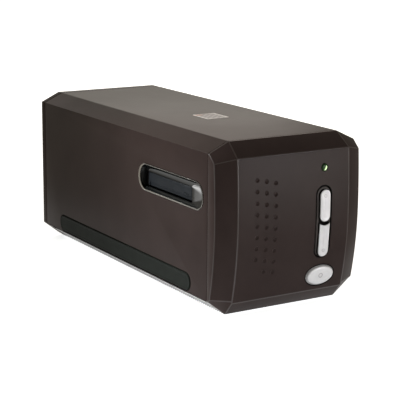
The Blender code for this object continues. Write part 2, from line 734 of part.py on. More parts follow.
def screw_solid(name, length, axis, place, facing):
    """Pan screw: place is the seat under its head, and facing is the side its head is on."""
    head = round_mesh(SCREW_HEAD_RADIUS, SCREW_HEAD_HEIGHT, axis, COARSE_SIDES)
    shift = {"Z": (0, 0, 1), "Y": (0, 1, 0)}[axis]
    head_place = [at + facing * SCREW_HEAD_HEIGHT / 2 * way for at, way in zip(place, shift)]
    item = part(name, head, head_place, "steel")
    shank = round_mesh(SCREW_SHANK_RADIUS, length + SCREW_HEAD_HEIGHT / 2, axis, COARSE_SIDES)
    middle = (SCREW_HEAD_HEIGHT / 2 - length) / 2
    shank_place = [at + facing * middle * way for at, way in zip(place, shift)]
    fuse(item, f"{name}_shank", shank, shank_place)
    slot_size = (2 * SCREW_HEAD_RADIUS + OVERRUN, SCREW_SLOT_WIDTH, SCREW_SLOT_WIDTH)
    slot_place = [at + facing * SCREW_HEAD_HEIGHT * way for at, way in zip(place, shift)]
    cut(item, f"{name}_slot", box_mesh(slot_size), slot_place)
    return item


def case_screws():
    names = ("front_left", "front_right", "rear_left", "rear_right")
    for name, (across, along) in zip(names, case_screw_places()):
        seat = from_base(SCREW_HEAD_HEIGHT)
        screw_solid(f"{name}_case_screw", CASE_SCREW_LENGTH, "Z", (across, along, seat), -1)


def rear_panel():
    outer = body_outline()
    front = REAR_Y - REAR_CAP_DEPTH
    panel = part("rear_panel", flat_mesh(outer, REAR_CAP_DEPTH, "Y"),
                 (0, (front + REAR_Y) / 2, 0), "brown_paint")
    depth = REAR_CAP_DEPTH - WALL + OVERRUN
    cut(panel, "rear_pocket", flat_mesh(body_outline(WALL), depth, "Y"),
        (0, front - OVERRUN + depth / 2, 0))
    reach = WALL + 2 * OVERRUN
    middle = REAR_Y - WALL / 2
    for name, across, width, height in (("usb_window", USB_X, USB_WIDTH, USB_HEIGHT),
                                        ("jack_window", JACK_X, JACK_WIDTH, JACK_HEIGHT)):
        cut(panel, name, box_mesh((width + 2 * SEAM, reach, height + 2 * SEAM)),
            (across, middle, socket_base() + height / 2))
    first = -(VENT_COUNT - 1) / 2
    places = [((first + number) * VENT_PITCH, 0, 0) for number in range(VENT_COUNT)]
    slots = repeated_mesh(flat_mesh(stadium(VENT_WIDTH, VENT_HEIGHT, CREASE_STEPS), reach, "Y"), places)
    cut(panel, "rear_vents", slots, (0, middle, from_base(VENT_CENTRE_HEIGHT)))


def socket_base():
    return board_top() + SEAM


def board_top():
    return from_base(BOARD_POST_HEIGHT + SEAM + BOARD_THICKNESS)


# Front bezel

def bezel_half_mesh():
    """Left half of the bezel's outer surface, open at the middle plane and at the rear."""
    rear = from_nose(BEZEL_DEPTH - SEAM)
    rim = rear - RIM_DEPTH
    outline = body_outline()
    base_corner, side_low, side_high, top_corner = outline[7], outline[6], outline[5], outline[4]
    panel_x = -PANEL_WIDTH / 2
    ridge_low = side_low[1] - BASE_Z
    sides = []
    for step in range(BOW_STEPS + 1):
        share = step / BOW_STEPS
        ridge_z = RIDGE_TOP + (ridge_low - RIDGE_TOP) * share
        panel_z = PANEL_TOP + (PANEL_BOTTOM - PANEL_TOP) * share
        ridge_y = min(rim, from_nose(RIDGE_SETBACK + bow(ridge_z)))
        sides.append((ridge_z, ridge_y, panel_z, from_nose(bow(panel_z))))
    sides[-1] = (ridge_low, rim, sides[-1][2], sides[-1][3])
    back_ring = [(0, top_corner[1]), top_corner, side_high]
    back_ring += [(-SIDE_X, from_base(row[0])) for row in sides]
    back_ring += [base_corner, (0, base_corner[1])]
    rim_ys = [rim, rim, rim] + [row[1] for row in sides] + [rim, rim]
    bm = bmesh.new()
    back = [bm.verts.new((across, rear, up)) for across, up in back_ring]
    front = [bm.verts.new((across, along, up)) for (across, up), along in zip(back_ring, rim_ys)]
    for index in range(len(back) - 1):
        bm.faces.new((back[index], back[index + 1], front[index + 1], front[index]))
    edge = [bm.verts.new((panel_x, row[3], from_base(row[2]))) for row in sides]
    middle = [bm.verts.new((0, row[3], from_base(row[2]))) for row in sides]
    bm.faces.new((front[0], front[1], edge[0], middle[0]))
    bm.faces.new((front[1], front[2], edge[0]))
    bm.faces.new((front[2], front[3], edge[0]))
    for index in range(len(edge) - 1):
        bm.faces.new((front[index + 3], front[index + 4], edge[index + 1], edge[index]))
        bm.faces.new((edge[index], edge[index + 1], middle[index + 1], middle[index]))
    bm.faces.new((front[-3], front[-2], edge[-1]))
    bm.faces.new((front[-2], front[-1], middle[-1], edge[-1]))
    mesh = bpy.data.meshes.new("bezel")
    bm.to_mesh(mesh)
    bm.free()
    return mesh


def follow_panel(mesh, place_z, limit):
    """Move each point in front of the limit back by the panel's bow at its height."""
    for vert in mesh.vertices:
        if vert.co.y < limit:
            vert.co.y += bow(vert.co.z + place_z - BASE_Z)
    return mesh


def panel_solid(outline, front, back, height):
    """Solid along Y whose front follows the panel: front and back are distances from the nose."""
    mesh = flat_mesh(outline, back - front, "Y")
    follow_panel(mesh, from_base(height), 0)
    return mesh


def front_bezel():
    bezel = part("front_bezel", bezel_half_mesh(), (0, 0, 0), "brown_paint")
    mirror = bezel.modifiers.new("both_sides", "MIRROR")
    mirror.merge_threshold = WELD
    shell = bezel.modifiers.new("shell", "SOLIDIFY")
    shell.thickness = WALL
    shell.offset = -1
    shell.use_even_offset = True
    shell.use_quality_normals = True
    recess_height = RECESS_TOP - RECESS_BOTTOM
    recess_middle = (RECESS_TOP + RECESS_BOTTOM) / 2
    sink = WALL / 2
    boss = stadium(RECESS_WIDTH + 2 * RECESS_WALL, recess_height + 2 * RECESS_WALL)
    fuse(bezel, "recess_boss", panel_solid(boss, sink, RECESS_BACK, recess_middle),
         (CONTROL_X, from_nose((sink + RECESS_BACK) / 2), from_base(recess_middle)))
    ring_width = POWER_WIDTH + 2 * POWER_RING
    ring_depth = POWER_DEPTH + 2 * POWER_RING
    power_boss = ellipse(ring_width + 2 * RECESS_WALL, ring_depth + 2 * RECESS_WALL, FINE_SIDES)
    fuse(bezel, "power_boss", panel_solid(power_boss, sink, POWER_BACK, POWER_HEIGHT),
         (POWER_X, from_nose((sink + POWER_BACK) / 2), from_base(POWER_HEIGHT)))
    for number, (across, up) in enumerate(panel_post_places()):
        front = bow(up) + sink
        back = BUTTON_BOARD_BACK - BOARD_THICKNESS - SEAM
        fuse(bezel, f"panel_post_{number}",
             round_mesh(PANEL_POST_RADIUS, back - front, "Y", COARSE_SIDES),
             (across, from_nose((front + back) / 2), from_base(up)))
    cut_recesses(bezel, recess_height, recess_middle, ring_width, ring_depth)
    cut_dimples(bezel)


def cut_recesses(bezel, recess_height, recess_middle, ring_width, ring_depth):
    for name, across, outline, middle in (
            ("recess_cut", CONTROL_X, stadium(RECESS_WIDTH, recess_height), recess_middle),
            ("power_cut", POWER_X, ellipse(ring_width, ring_depth, FINE_SIDES), POWER_HEIGHT)):
        front = -BUTTON_PROUD - OVERRUN
        mesh = flat_mesh(outline, RECESS_DEPTH - front, "Y")
        for vert in mesh.vertices:
            if vert.co.y > 0:
                vert.co.y += bow(vert.co.z + middle)
        cut(bezel, name, mesh, (across, from_nose((front + RECESS_DEPTH) / 2), from_base(middle)))
    for name, outline, middle in (("upper_button_hole", upper_outline(BUTTON_CLEARANCE), upper_middle()),
                                  ("lower_button_hole", lower_outline(BUTTON_CLEARANCE), lower_middle())):
        cut(bezel, name, flat_mesh(outline, 2 * BEZEL_DEPTH, "Y"),
            (CONTROL_X, from_nose(0), from_base(middle)))
    power_hole = ellipse(POWER_WIDTH + 2 * BUTTON_CLEARANCE, POWER_DEPTH + 2 * BUTTON_CLEARANCE,
                         FINE_SIDES)
    cut(bezel, "power_hole", flat_mesh(power_hole, 2 * BEZEL_DEPTH, "Y"),
        (POWER_X, from_nose(0), from_base(POWER_HEIGHT)))
    cut(bezel, "light_hole", round_mesh(LIGHT_RADIUS + SEAM, 2 * BEZEL_DEPTH, "Y", COARSE_SIDES),
        (CONTROL_X, from_nose(0), from_base(LIGHT_HEIGHT)))
    for number, (across, up) in enumerate(panel_post_places()):
        back = BUTTON_BOARD_BACK - BOARD_THICKNESS
        depth = BOARD_SCREW_LENGTH + SEAM
        cut(bezel, f"post_hole_{number}",
            round_mesh(SCREW_SHANK_RADIUS + SEAM, depth + OVERRUN, "Y", COARSE_SIDES),
            (across, from_nose(back + (OVERRUN - depth) / 2), from_base(up)))


def panel_post_places():
    return ((CONTROL_X - PANEL_POST_SIDE, PANEL_POST_LOW), (CONTROL_X + PANEL_POST_SIDE, PANEL_POST_HIGH))


def cut_dimples(bezel):
    places = []
    for column, rows in enumerate(DIMPLE_ROWS):
        for row in range(rows):
            up = DIMPLE_TOP - column * DIMPLE_STAGGER - row * DIMPLE_PITCH
            places.append((DIMPLE_COLUMN_X + column * DIMPLE_COLUMN_PITCH, bow(up), from_base(up)))
    depth = 2 * DIMPLE_DEPTH
    pit = round_mesh(DIMPLE_MOUTH_RADIUS, depth, "Y", DIMPLE_SIDES, tip=DIMPLE_FLOOR_RADIUS)
    bowl = repeated_mesh(flipped_to_rear(pit), places)
    cut(bezel, "dimples", bowl, (0, from_nose(0), 0))


def flipped_to_rear(mesh):
    """Turn a cone so that its wide end faces the front."""
    widest = max(mesh.vertices, key=lambda vert: math.hypot(vert.co.x, vert.co.z))
    if widest.co.y > 0:
        mesh.transform(Matrix.Rotation(math.pi, 4, "X"))
    return mesh


# Controls

def button_solid(name, across, outline, middle, tail_back, flange):
    """Button cap along Y: its face follows the panel and a flange holds it behind the hole."""
    front = -BUTTON_PROUD
    mesh = flat_mesh(outline, tail_back - front, "Y", BUTTON_EDGE)
    place = (across, from_nose((front + tail_back) / 2), from_base(middle))
    for vert in mesh.vertices:
        if vert.co.y < 0:
            vert.co.y += bow(vert.co.z + middle)
    item = part(name, mesh, place, "silver_paint")
    fuse(item, f"{name}_flange", flat_mesh(flange[0], BUTTON_FLANGE_THICKNESS, "Y"),
         (across, from_nose(flange[1] + BUTTON_FLANGE_THICKNESS / 2), from_base(middle)))
    return item


def lower_button_outline(width, top, bottom, socket_radius):
    """Upright outline with a round bottom and a top hollowed to follow the round end above it."""
    radius = width / 2
    turns = [math.pi * (1 + step / (2 * ROUND_STEPS)) for step in range(2 * ROUND_STEPS + 1)]
    points = [(radius * math.cos(turn), bottom + radius + radius * math.sin(turn)) for turn in turns]
    arc = math.asin(min(1, radius / socket_radius))
    centre = top + socket_radius
    for step in range(ROUND_STEPS + 1):
        turn = arc - 2 * arc * step / ROUND_STEPS
        points.append((socket_radius * math.sin(turn), centre - socket_radius * math.cos(turn)))
    return points


def upper_middle():
    return (SCAN_BUTTON_TOP + SCAN_BUTTON_SPLIT) / 2


def lower_middle():
    return (SCAN_BUTTON_SPLIT - BUTTON_SPLIT_GAP + SCAN_BUTTON_BOTTOM) / 2


def upper_outline(grow):
    """Outline of the upper button in X and Z about its middle, grown outwards for its hole."""
    return stadium(SCAN_BUTTON_WIDTH + 2 * grow, SCAN_BUTTON_TOP - SCAN_BUTTON_SPLIT + 2 * grow)


def lower_outline(grow):
    """Outline of the lower button in X and Z about its middle, grown outwards for its hole."""
    half = (SCAN_BUTTON_SPLIT - BUTTON_SPLIT_GAP - SCAN_BUTTON_BOTTOM) / 2 + grow
    socket_radius = SCAN_BUTTON_WIDTH / 2 + BUTTON_SPLIT_GAP - grow
    return lower_button_outline(SCAN_BUTTON_WIDTH + 2 * grow, half, -half, socket_radius)


def scan_buttons():
    flange_back = RECESS_BACK + SEAM
    wide = SCAN_BUTTON_WIDTH + 2 * BUTTON_FLANGE
    upper_flange = SCAN_BUTTON_TOP - SCAN_BUTTON_SPLIT - SCAN_BUTTON_WIDTH / 2
    lower_flange = SCAN_BUTTON_SPLIT - BUTTON_SPLIT_GAP - SCAN_BUTTON_BOTTOM - SCAN_BUTTON_WIDTH / 2
    for name, outline, middle, height in (
            ("upper", upper_outline(0), upper_middle(), upper_flange),
            ("lower", lower_outline(0), lower_middle(), lower_flange)):
        button = button_solid(f"{name}_scan_button", CONTROL_X, outline, middle, BUTTON_TAIL_BACK,
                              (rounded_box(wide, height, BUTTON_FLANGE, 2), flange_back))
        carry(f"{name}_button_axis", (CONTROL_X, from_nose(0), from_base(middle)), [button])


def power_button():
    tail_back = POWER_BACK + BUTTON_FLANGE_THICKNESS + SEAM
    flange = ellipse(POWER_WIDTH + 2 * BUTTON_FLANGE, POWER_DEPTH + 2 * BUTTON_FLANGE, FINE_SIDES)
    button = button_solid("power_button", POWER_X, ellipse(POWER_WIDTH, POWER_DEPTH, FINE_SIDES),
                          POWER_HEIGHT, tail_back, (flange, POWER_BACK + SEAM))
    carry("power_button_axis", (POWER_X, from_nose(0), from_base(POWER_HEIGHT)), [button])


def button_electronics():
    board_front = BUTTON_BOARD_BACK - BOARD_THICKNESS
    height = BUTTON_BOARD_TOP - BUTTON_BOARD_BOTTOM
    board = part("button_board", box_mesh((2 * BUTTON_BOARD_SIDE, BOARD_THICKNESS, height)),
                 (CONTROL_X, from_nose(board_front + BOARD_THICKNESS / 2),
                  from_base(BUTTON_BOARD_BOTTOM + height / 2)), "circuit_board")
    for number, (across, up) in enumerate(panel_post_places()):
        cut(board, f"board_gap_{number}",
            round_mesh(SCREW_SHANK_RADIUS + SEAM, BOARD_THICKNESS + 2 * OVERRUN, "Y", COARSE_SIDES),
            (across, from_nose(board_front + BOARD_THICKNESS / 2), from_base(up)))
        screw_solid(("lower", "upper")[number] + "_board_screw", BOARD_SCREW_LENGTH, "Y",
                    (across, from_nose(BUTTON_BOARD_BACK + SEAM), from_base(up)), 1)
    rest = board_front - SEAM
    for name, up in (("upper_button_switch", upper_middle()), ("lower_button_switch", lower_middle()),
                     ("power_button_switch", POWER_HEIGHT)):
        part(name, box_mesh((SWITCH_SIZE, SWITCH_DEPTH, SWITCH_SIZE)),
             (CONTROL_X, from_nose(rest - SWITCH_DEPTH / 2), from_base(up)), "black_plastic")
    part("status_lamp", box_mesh((LIGHT_CHIP_SIZE, LIGHT_CHIP_DEPTH, LIGHT_CHIP_SIZE)),
         (CONTROL_X, from_nose(rest - LIGHT_CHIP_DEPTH / 2), from_base(LIGHT_HEIGHT)), "diffuser")
    pipe_front = bow(LIGHT_HEIGHT)
    pipe_back = rest - LIGHT_CHIP_DEPTH - SEAM
    pipe = part("status_light_pipe", round_mesh(LIGHT_RADIUS, pipe_back - pipe_front, "Y", COARSE_SIDES),
                (CONTROL_X, from_nose((pipe_front + pipe_back) / 2), from_base(LIGHT_HEIGHT)),
                "light_pipe")
    smooth(pipe)


# Film slot

def trim_mesh(side):
    """Scooped trim: a lip flush with the side, a hollow down to the mouth and a flange behind."""
    back = SCOOP_DEPTH + MOUTH_EDGE
    outside = stadium(SLOT_LENGTH, SLOT_HEIGHT)
    lip = stadium(SLOT_LENGTH - 2 * TRIM_LIP, SLOT_HEIGHT - 2 * TRIM_LIP)
    mouth = shifted(rounded_box(MOUTH_LENGTH, MOUTH_HEIGHT, MOUTH_CORNER, ROUND_STEPS),
                    MOUTH_SHIFT_BACK, -MOUTH_SHIFT_DOWN)
    flange = stadium(SLOT_LENGTH + 2 * TRIM_FLANGE, SLOT_HEIGHT + 2 * TRIM_FLANGE)
    layers = [(outside, -TRIM_PROUD), (lip, -TRIM_PROUD)]
    for step in range(1, SCOOP_STEPS + 1):
        turn = math.pi / 2 * step / SCOOP_STEPS
        share = 1 - math.cos(turn)
        blend = [(start[0] + (end[0] - start[0]) * share, start[1] + (end[1] - start[1]) * share)
                 for start, end in zip(lip, mouth)]
        layers.append((blend, SCOOP_DEPTH * math.sin(turn)))
    layers += [(mouth, back), (flange, back), (flange, WALL + SEAM), (outside, WALL + SEAM)]
    rings = [[(side * (SIDE_X - depth), along, up) for along, up in outline]
             for outline, depth in layers]
    return ring_mesh(rings, endless=True)


def hinge_depth():
    """Distance of the door hinge's axis from the side face of the body."""
    return SCOOP_DEPTH + MOUTH_EDGE + SEAM + SPRING_COIL_RADIUS + SPRING_WIRE_RADIUS


def hinge_rise():
    """Height of the door hinge's axis above the middle of the mouth."""
    return MOUTH_HEIGHT / 2 + HINGE_RISE


def door_length():
    return MOUTH_LENGTH - DOOR_SIDE_GAP - DOOR_REAR_GAP


def door_back():
    """Distance of the door's middle behind the nose: it leaves a gap at the mouth's rear end."""
    return MOUTH_BACK + (DOOR_SIDE_GAP - DOOR_REAR_GAP) / 2


def film_centre():
    return (from_nose(MOUTH_BACK), from_base(MOUTH_CENTRE_HEIGHT))


def slot_trims():
    _, along, up = slot_centre()
    back = SCOOP_DEPTH + MOUTH_EDGE
    reach = hinge_depth() + EAR_RADIUS
    door_y = from_nose(door_back())
    for side, name in ((-1, "left"), (1, "right")):
        trim = part(f"{name}_slot_trim", trim_mesh(side), (0, along, up), "black_gloss")
        smooth(trim)
        sink = MOUTH_EDGE / 2
        axis_x = side * (SIDE_X - hinge_depth())
        axis_z = from_base(MOUTH_CENTRE_HEIGHT) + hinge_rise()
        for end in (-1, 1):
            middle = door_y + end * (door_length() / 2 + SEAM + EAR_THICKNESS / 2)
            size = (reach - back + sink, EAR_THICKNESS, 2 * EAR_RADIUS)
            fuse(trim, f"{name}_ear_{end}", box_mesh(size),
                 (side * (SIDE_X - back + sink - size[0] / 2), middle, axis_z))
            cut(trim, f"{name}_ear_hole_{end}",
                round_mesh(PIN_HOLE_RADIUS, EAR_THICKNESS + 2 * SEAM, "Y", COARSE_SIDES),
                (axis_x, middle, axis_z))
        dust_door(name, side, (axis_x, door_y, axis_z))


def dust_door(name, side, axis):
    """Flap behind the mouth, hung on a pin through two barrels, with a coil spring between them."""
    drop = hinge_rise() + MOUTH_HEIGHT / 2 - DOOR_BOTTOM_GAP
    face = SIDE_X - SCOOP_DEPTH - MOUTH_EDGE - SEAM
    middle_x = side * (face - DOOR_THICKNESS / 2)
    door = part(f"{name}_dust_door", box_mesh((DOOR_THICKNESS, door_length(), drop)),
                (middle_x, axis[1], axis[2] - drop / 2), "black_plastic")
    barrel_length = (door_length() - SPRING_GAP) / 2
    for end in (-1, 1):
        middle = axis[1] + end * (SPRING_GAP + barrel_length) / 2
        fuse(door, f"{name}_barrel_{end}",
             round_mesh(BARREL_RADIUS, barrel_length, "Y", COARSE_SIDES), (axis[0], middle, axis[2]))
    relief = 2 * (SPRING_COIL_RADIUS + SPRING_WIRE_RADIUS + SEAM)
    cut(door, f"{name}_spring_notch", box_mesh((2 * relief, SPRING_GAP, relief)), axis)
    cut(door, f"{name}_door_bore",
        round_mesh(PIN_HOLE_RADIUS, door_length() + 2 * OVERRUN, "Y", COARSE_SIDES), axis)
    pin_length = door_length() + 2 * (SEAM + EAR_THICKNESS)
    part(f"{name}_door_pin", round_mesh(PIN_RADIUS, pin_length, "Y", COARSE_SIDES), axis, "steel")
    carry(f"{name}_door_axis", axis, [door])
    door_spring(f"{name}_door_spring", axis)


def door_spring(name, axis):
    """Coil round the hinge pin, one unbroken wire."""
    count = SPRING_TURNS * SPRING_TURN_SIDES
    curve = bpy.data.curves.new(name, "CURVE")
    curve.dimensions = "3D"
    curve.bevel_depth = SPRING_WIRE_RADIUS
    curve.bevel_resolution = 1
    curve.use_fill_caps = True
    spline = curve.splines.new("POLY")
    spline.points.add(count)
    for index, point in enumerate(spline.points):
        turn = 2 * math.pi * index / SPRING_TURN_SIDES
        along = (index / SPRING_TURN_SIDES - SPRING_TURNS / 2) * SPRING_PITCH
        point.co = (SPRING_COIL_RADIUS * math.cos(turn), along, SPRING_COIL_RADIUS * math.sin(turn), 1)
    item = bpy.data.objects.new(name, curve)
    item.location = axis
    PARTS.objects.link(item)
    curve.materials.append(finish(name, *FINISHES["steel"]))


# Film guide and lamp

def film_guide():
    along, up = film_centre()
    floor_z = up - CHANNEL_DROP - GUIDE_WALL / 2
    guide = part("film_guide", box_mesh((CHASSIS_WIDTH, GUIDE_WIDTH, GUIDE_WALL)), (0, along, floor_z),
                 "black_plastic")
    rail_height = CHANNEL_DROP + CHANNEL_RISE + GUIDE_WALL / 2
    for end in (-1, 1):
        fuse(guide, f"guide_rail_{end}", box_mesh((RAIL_RUN, GUIDE_WALL, rail_height)),
             (0, along + end * (GUIDE_WIDTH - GUIDE_WALL) / 2, up + CHANNEL_RISE - rail_height / 2))
    hole = (FILM_WINDOW_LENGTH, FILM_WINDOW_WIDTH, 2 * GUIDE_WALL)
    cut(guide, "film_window", box_mesh(hole), (0, along, floor_z))
    cover_z = up + CHANNEL_RISE + SEAM + GUIDE_WALL / 2
    cover = part("film_guide_cover", box_mesh((RAIL_RUN, GUIDE_WIDTH, GUIDE_WALL)), (0, along, cover_z),
                 "black_plastic")
    cut(cover, "lamp_window", box_mesh(hole), (0, along, cover_z))
    base = cover_z + GUIDE_WALL / 2 + SEAM
    part("light_diffuser", box_mesh((DIFFUSER_LENGTH, DIFFUSER_WIDTH, DIFFUSER_THICKNESS)),
         (0, along, base + DIFFUSER_THICKNESS / 2), "diffuser")
    lamp = part("lamp_housing", box_mesh((LAMP_LENGTH, LAMP_WIDTH, LAMP_HEIGHT)),
                (0, along, base + LAMP_HEIGHT / 2), "black_plastic")
    room = LAMP_HEIGHT - LAMP_WALL
    cut(lamp, "lamp_room", box_mesh((LAMP_LENGTH - 2 * LAMP_WALL, LAMP_WIDTH - 2 * LAMP_WALL,
                                     room + OVERRUN)), (0, along, base + (room - OVERRUN) / 2))
    board_z = base + room - SEAM - BOARD_THICKNESS / 2
    part("lamp_board", box_mesh((LAMP_LENGTH - 2 * LAMP_WALL - 2 * SEAM,
                                 LAMP_WIDTH - 2 * LAMP_WALL - 2 * SEAM, BOARD_THICKNESS)),
         (0, along, board_z), "circuit_board")


# Scan chassis and drive

def scan_chassis():
    plate_z = CHASSIS_PLATE_HEIGHT + CHASSIS_PLATE / 2
    middle = CHASSIS_FRONT_BACK + CHASSIS_LENGTH / 2
    chassis = part("scan_chassis", box_mesh((CHASSIS_WIDTH, CHASSIS_LENGTH, CHASSIS_PLATE)),
                   (0, from_nose(middle), from_base(plate_z)), "black_plastic")
    low = CHASSIS_PLATE_HEIGHT + CHASSIS_PLATE / 2
    rear_wall = CHASSIS_FRONT_BACK + CHASSIS_LENGTH - CHASSIS_END_WALL / 2
    walls = (("front_wall", CHASSIS_FRONT_BACK + CHASSIS_END_WALL / 2), ("rear_wall", rear_wall))
    for name, back in walls:
        height = CARRIAGE_TOP - low
        fuse(chassis, name, box_mesh((CHASSIS_WIDTH, CHASSIS_END_WALL, height)),
             (0, from_nose(back), from_base(low + height / 2)))
    rise = GUIDE_UNDERSIDE - SEAM - low
    for side in (-1, 1):
        fuse(chassis, f"guide_wall_{side}", box_mesh((CHASSIS_END_WALL, GUIDE_WALL_RUN, rise)),
             (side * (CHASSIS_WIDTH - CHASSIS_END_WALL) / 2, from_nose(MOUTH_BACK),
              from_base(low + rise / 2)))
    foot = CASE_BOSS_HEIGHT + SEAM
    leg = low - foot
    bore = CASE_SCREW_LENGTH - CASE_BOSS_HEIGHT + SCREW_HEAD_HEIGHT + OVERRUN
    for number, (across, along) in enumerate(case_screw_places()):
        fuse(chassis, f"leg_{number}", box_mesh((LEG_SIZE, LEG_SIZE, leg)),
             (across, along, from_base(foot + leg / 2)))
        cut(chassis, f"leg_bore_{number}",
            round_mesh(SCREW_SHANK_RADIUS + SEAM, bore + OVERRUN, "Z", COARSE_SIDES),
            (across, along, from_base(foot + (bore - OVERRUN) / 2)))
    run = CHASSIS_LENGTH + 2 * OVERRUN
    for side in (-1, 1):
        cut(chassis, f"rod_hole_{side}", round_mesh(ROD_RADIUS + SEAM, run, "Y", COARSE_SIDES),
            (side * ROD_SPAN / 2, from_nose(middle), from_base(ROD_HEIGHT)))
    cut(chassis, "screw_hole", round_mesh(LEAD_SCREW_RADIUS + SEAM, run, "Y", COARSE_SIDES),
        (0, from_nose(middle), from_base(SCREW_HEIGHT)))
    for side, name in ((-1, "left_guide_rod"), (1, "right_guide_rod")):
        rod = part(name, round_mesh(ROD_RADIUS, CHASSIS_LENGTH, "Y", COARSE_SIDES),
                   (side * ROD_SPAN / 2, from_nose(middle), from_base(ROD_HEIGHT)), "steel")
        smooth(rod)
    sensor_x = CHASSIS_WIDTH / 2 - CHASSIS_END_WALL - SEAM - HOME_SENSOR_WIDTH / 2
    part("home_sensor", box_mesh((HOME_SENSOR_WIDTH, HOME_SENSOR_LENGTH, HOME_SENSOR_HEIGHT)),
         (sensor_x, from_nose(CARRIAGE_FRONT_BACK + HOME_SENSOR_LENGTH / 2),
          from_base(CHASSIS_PLATE_HEIGHT + CHASSIS_PLATE + SEAM + HOME_SENSOR_HEIGHT / 2)), "chip")


def scan_drive():
    rear = CHASSIS_FRONT_BACK + CHASSIS_LENGTH
    front = rear + SEAM
    motor = part("stepper_motor",
                 box_mesh((MOTOR_FLANGE_SIZE, MOTOR_FLANGE_THICKNESS, 2 * MOTOR_RADIUS)),
                 (0, from_nose(front + MOTOR_FLANGE_THICKNESS / 2), from_base(SCREW_HEIGHT)), "steel")
    fuse(motor, "motor_can", round_mesh(MOTOR_RADIUS, MOTOR_LENGTH, "Y"),
         (0, from_nose(front + MOTOR_FLANGE_THICKNESS / 2 + MOTOR_LENGTH / 2), from_base(SCREW_HEIGHT)))
    cut(motor, "motor_socket",
        round_mesh(LEAD_SCREW_RADIUS + SEAM, MOTOR_SOCKET_DEPTH + OVERRUN, "Y", COARSE_SIDES),
        (0, from_nose(front + (MOTOR_SOCKET_DEPTH - OVERRUN) / 2), from_base(SCREW_HEIGHT)))
    end = front + MOTOR_SOCKET_DEPTH - SEAM
    length = end - CHASSIS_FRONT_BACK
    place = (0, from_nose(CHASSIS_FRONT_BACK + length / 2), from_base(SCREW_HEIGHT))
    screw = part("lead_screw", round_mesh(LEAD_SCREW_RADIUS, length, "Y", COARSE_SIDES), place, "steel")
    smooth(screw)
    carry("lead_screw_axis", place, [screw])


# Scan carriage

def optical_height():
    """Height of the lens axis above the underside of the body."""
    return CARRIAGE_FLOOR_HEIGHT + CARRIAGE_WALL + SEAM + LENS_RADIUS


def carriage():
    middle = CARRIAGE_FRONT_BACK + CARRIAGE_LENGTH / 2
    floor_z = CARRIAGE_FLOOR_HEIGHT + CARRIAGE_WALL / 2
    height = CARRIAGE_TOP - CARRIAGE_FLOOR_HEIGHT
    frame = part("carriage_frame", box_mesh((CARRIAGE_WIDTH, CARRIAGE_LENGTH, height)),
                 (0, from_nose(middle), from_base(CARRIAGE_FLOOR_HEIGHT + height / 2)), "black_plastic")
    room = height - CARRIAGE_WALL + OVERRUN
    cut(frame, "carriage_pocket",
        box_mesh((CARRIAGE_WIDTH - 2 * CARRIAGE_WALL, CARRIAGE_LENGTH - 2 * CARRIAGE_WALL, room)),
        (0, from_nose(middle), from_base(CARRIAGE_FLOOR_HEIGHT + CARRIAGE_WALL + room / 2)))
    drop = CARRIAGE_FLOOR_HEIGHT + CARRIAGE_WALL / 2 - ROD_HEIGHT + ROD_RADIUS + BEARING_INSET
    for side in (-1, 1):
        for end in (-1, 1):
            back = middle + end * (CARRIAGE_LENGTH / 2 - BEARING_INSET - BEARING_LENGTH / 2)
            fuse(frame, f"bearing_{side}_{end}", box_mesh((BEARING_WIDTH, BEARING_LENGTH, drop)),
                 (side * ROD_SPAN / 2, from_nose(back), from_base(floor_z - drop / 2)))
        cut(frame, f"bearing_bore_{side}",
            round_mesh(ROD_RADIUS + SEAM, CARRIAGE_LENGTH + 2 * OVERRUN, "Y", COARSE_SIDES),
            (side * ROD_SPAN / 2, from_nose(middle), from_base(ROD_HEIGHT)))
    lid_z = CARRIAGE_TOP + SEAM + CARRIAGE_LID / 2
    lid = part("carriage_lid", box_mesh((CARRIAGE_WIDTH, CARRIAGE_LENGTH, CARRIAGE_LID)),
               (0, from_nose(middle), from_base(lid_z)), "black_plastic")
    cut(lid, "scan_slit", box_mesh((SLIT_LENGTH, SLIT_WIDTH, 2 * CARRIAGE_LID)),
        (0, from_nose(SLIT_BACK), from_base(lid_z)))
    moving = [frame, lid] + carriage_optics() + [lead_nut()]
    carry("carriage_axis", (0, from_nose(CARRIAGE_FRONT_BACK), from_base(ROD_HEIGHT)), moving)


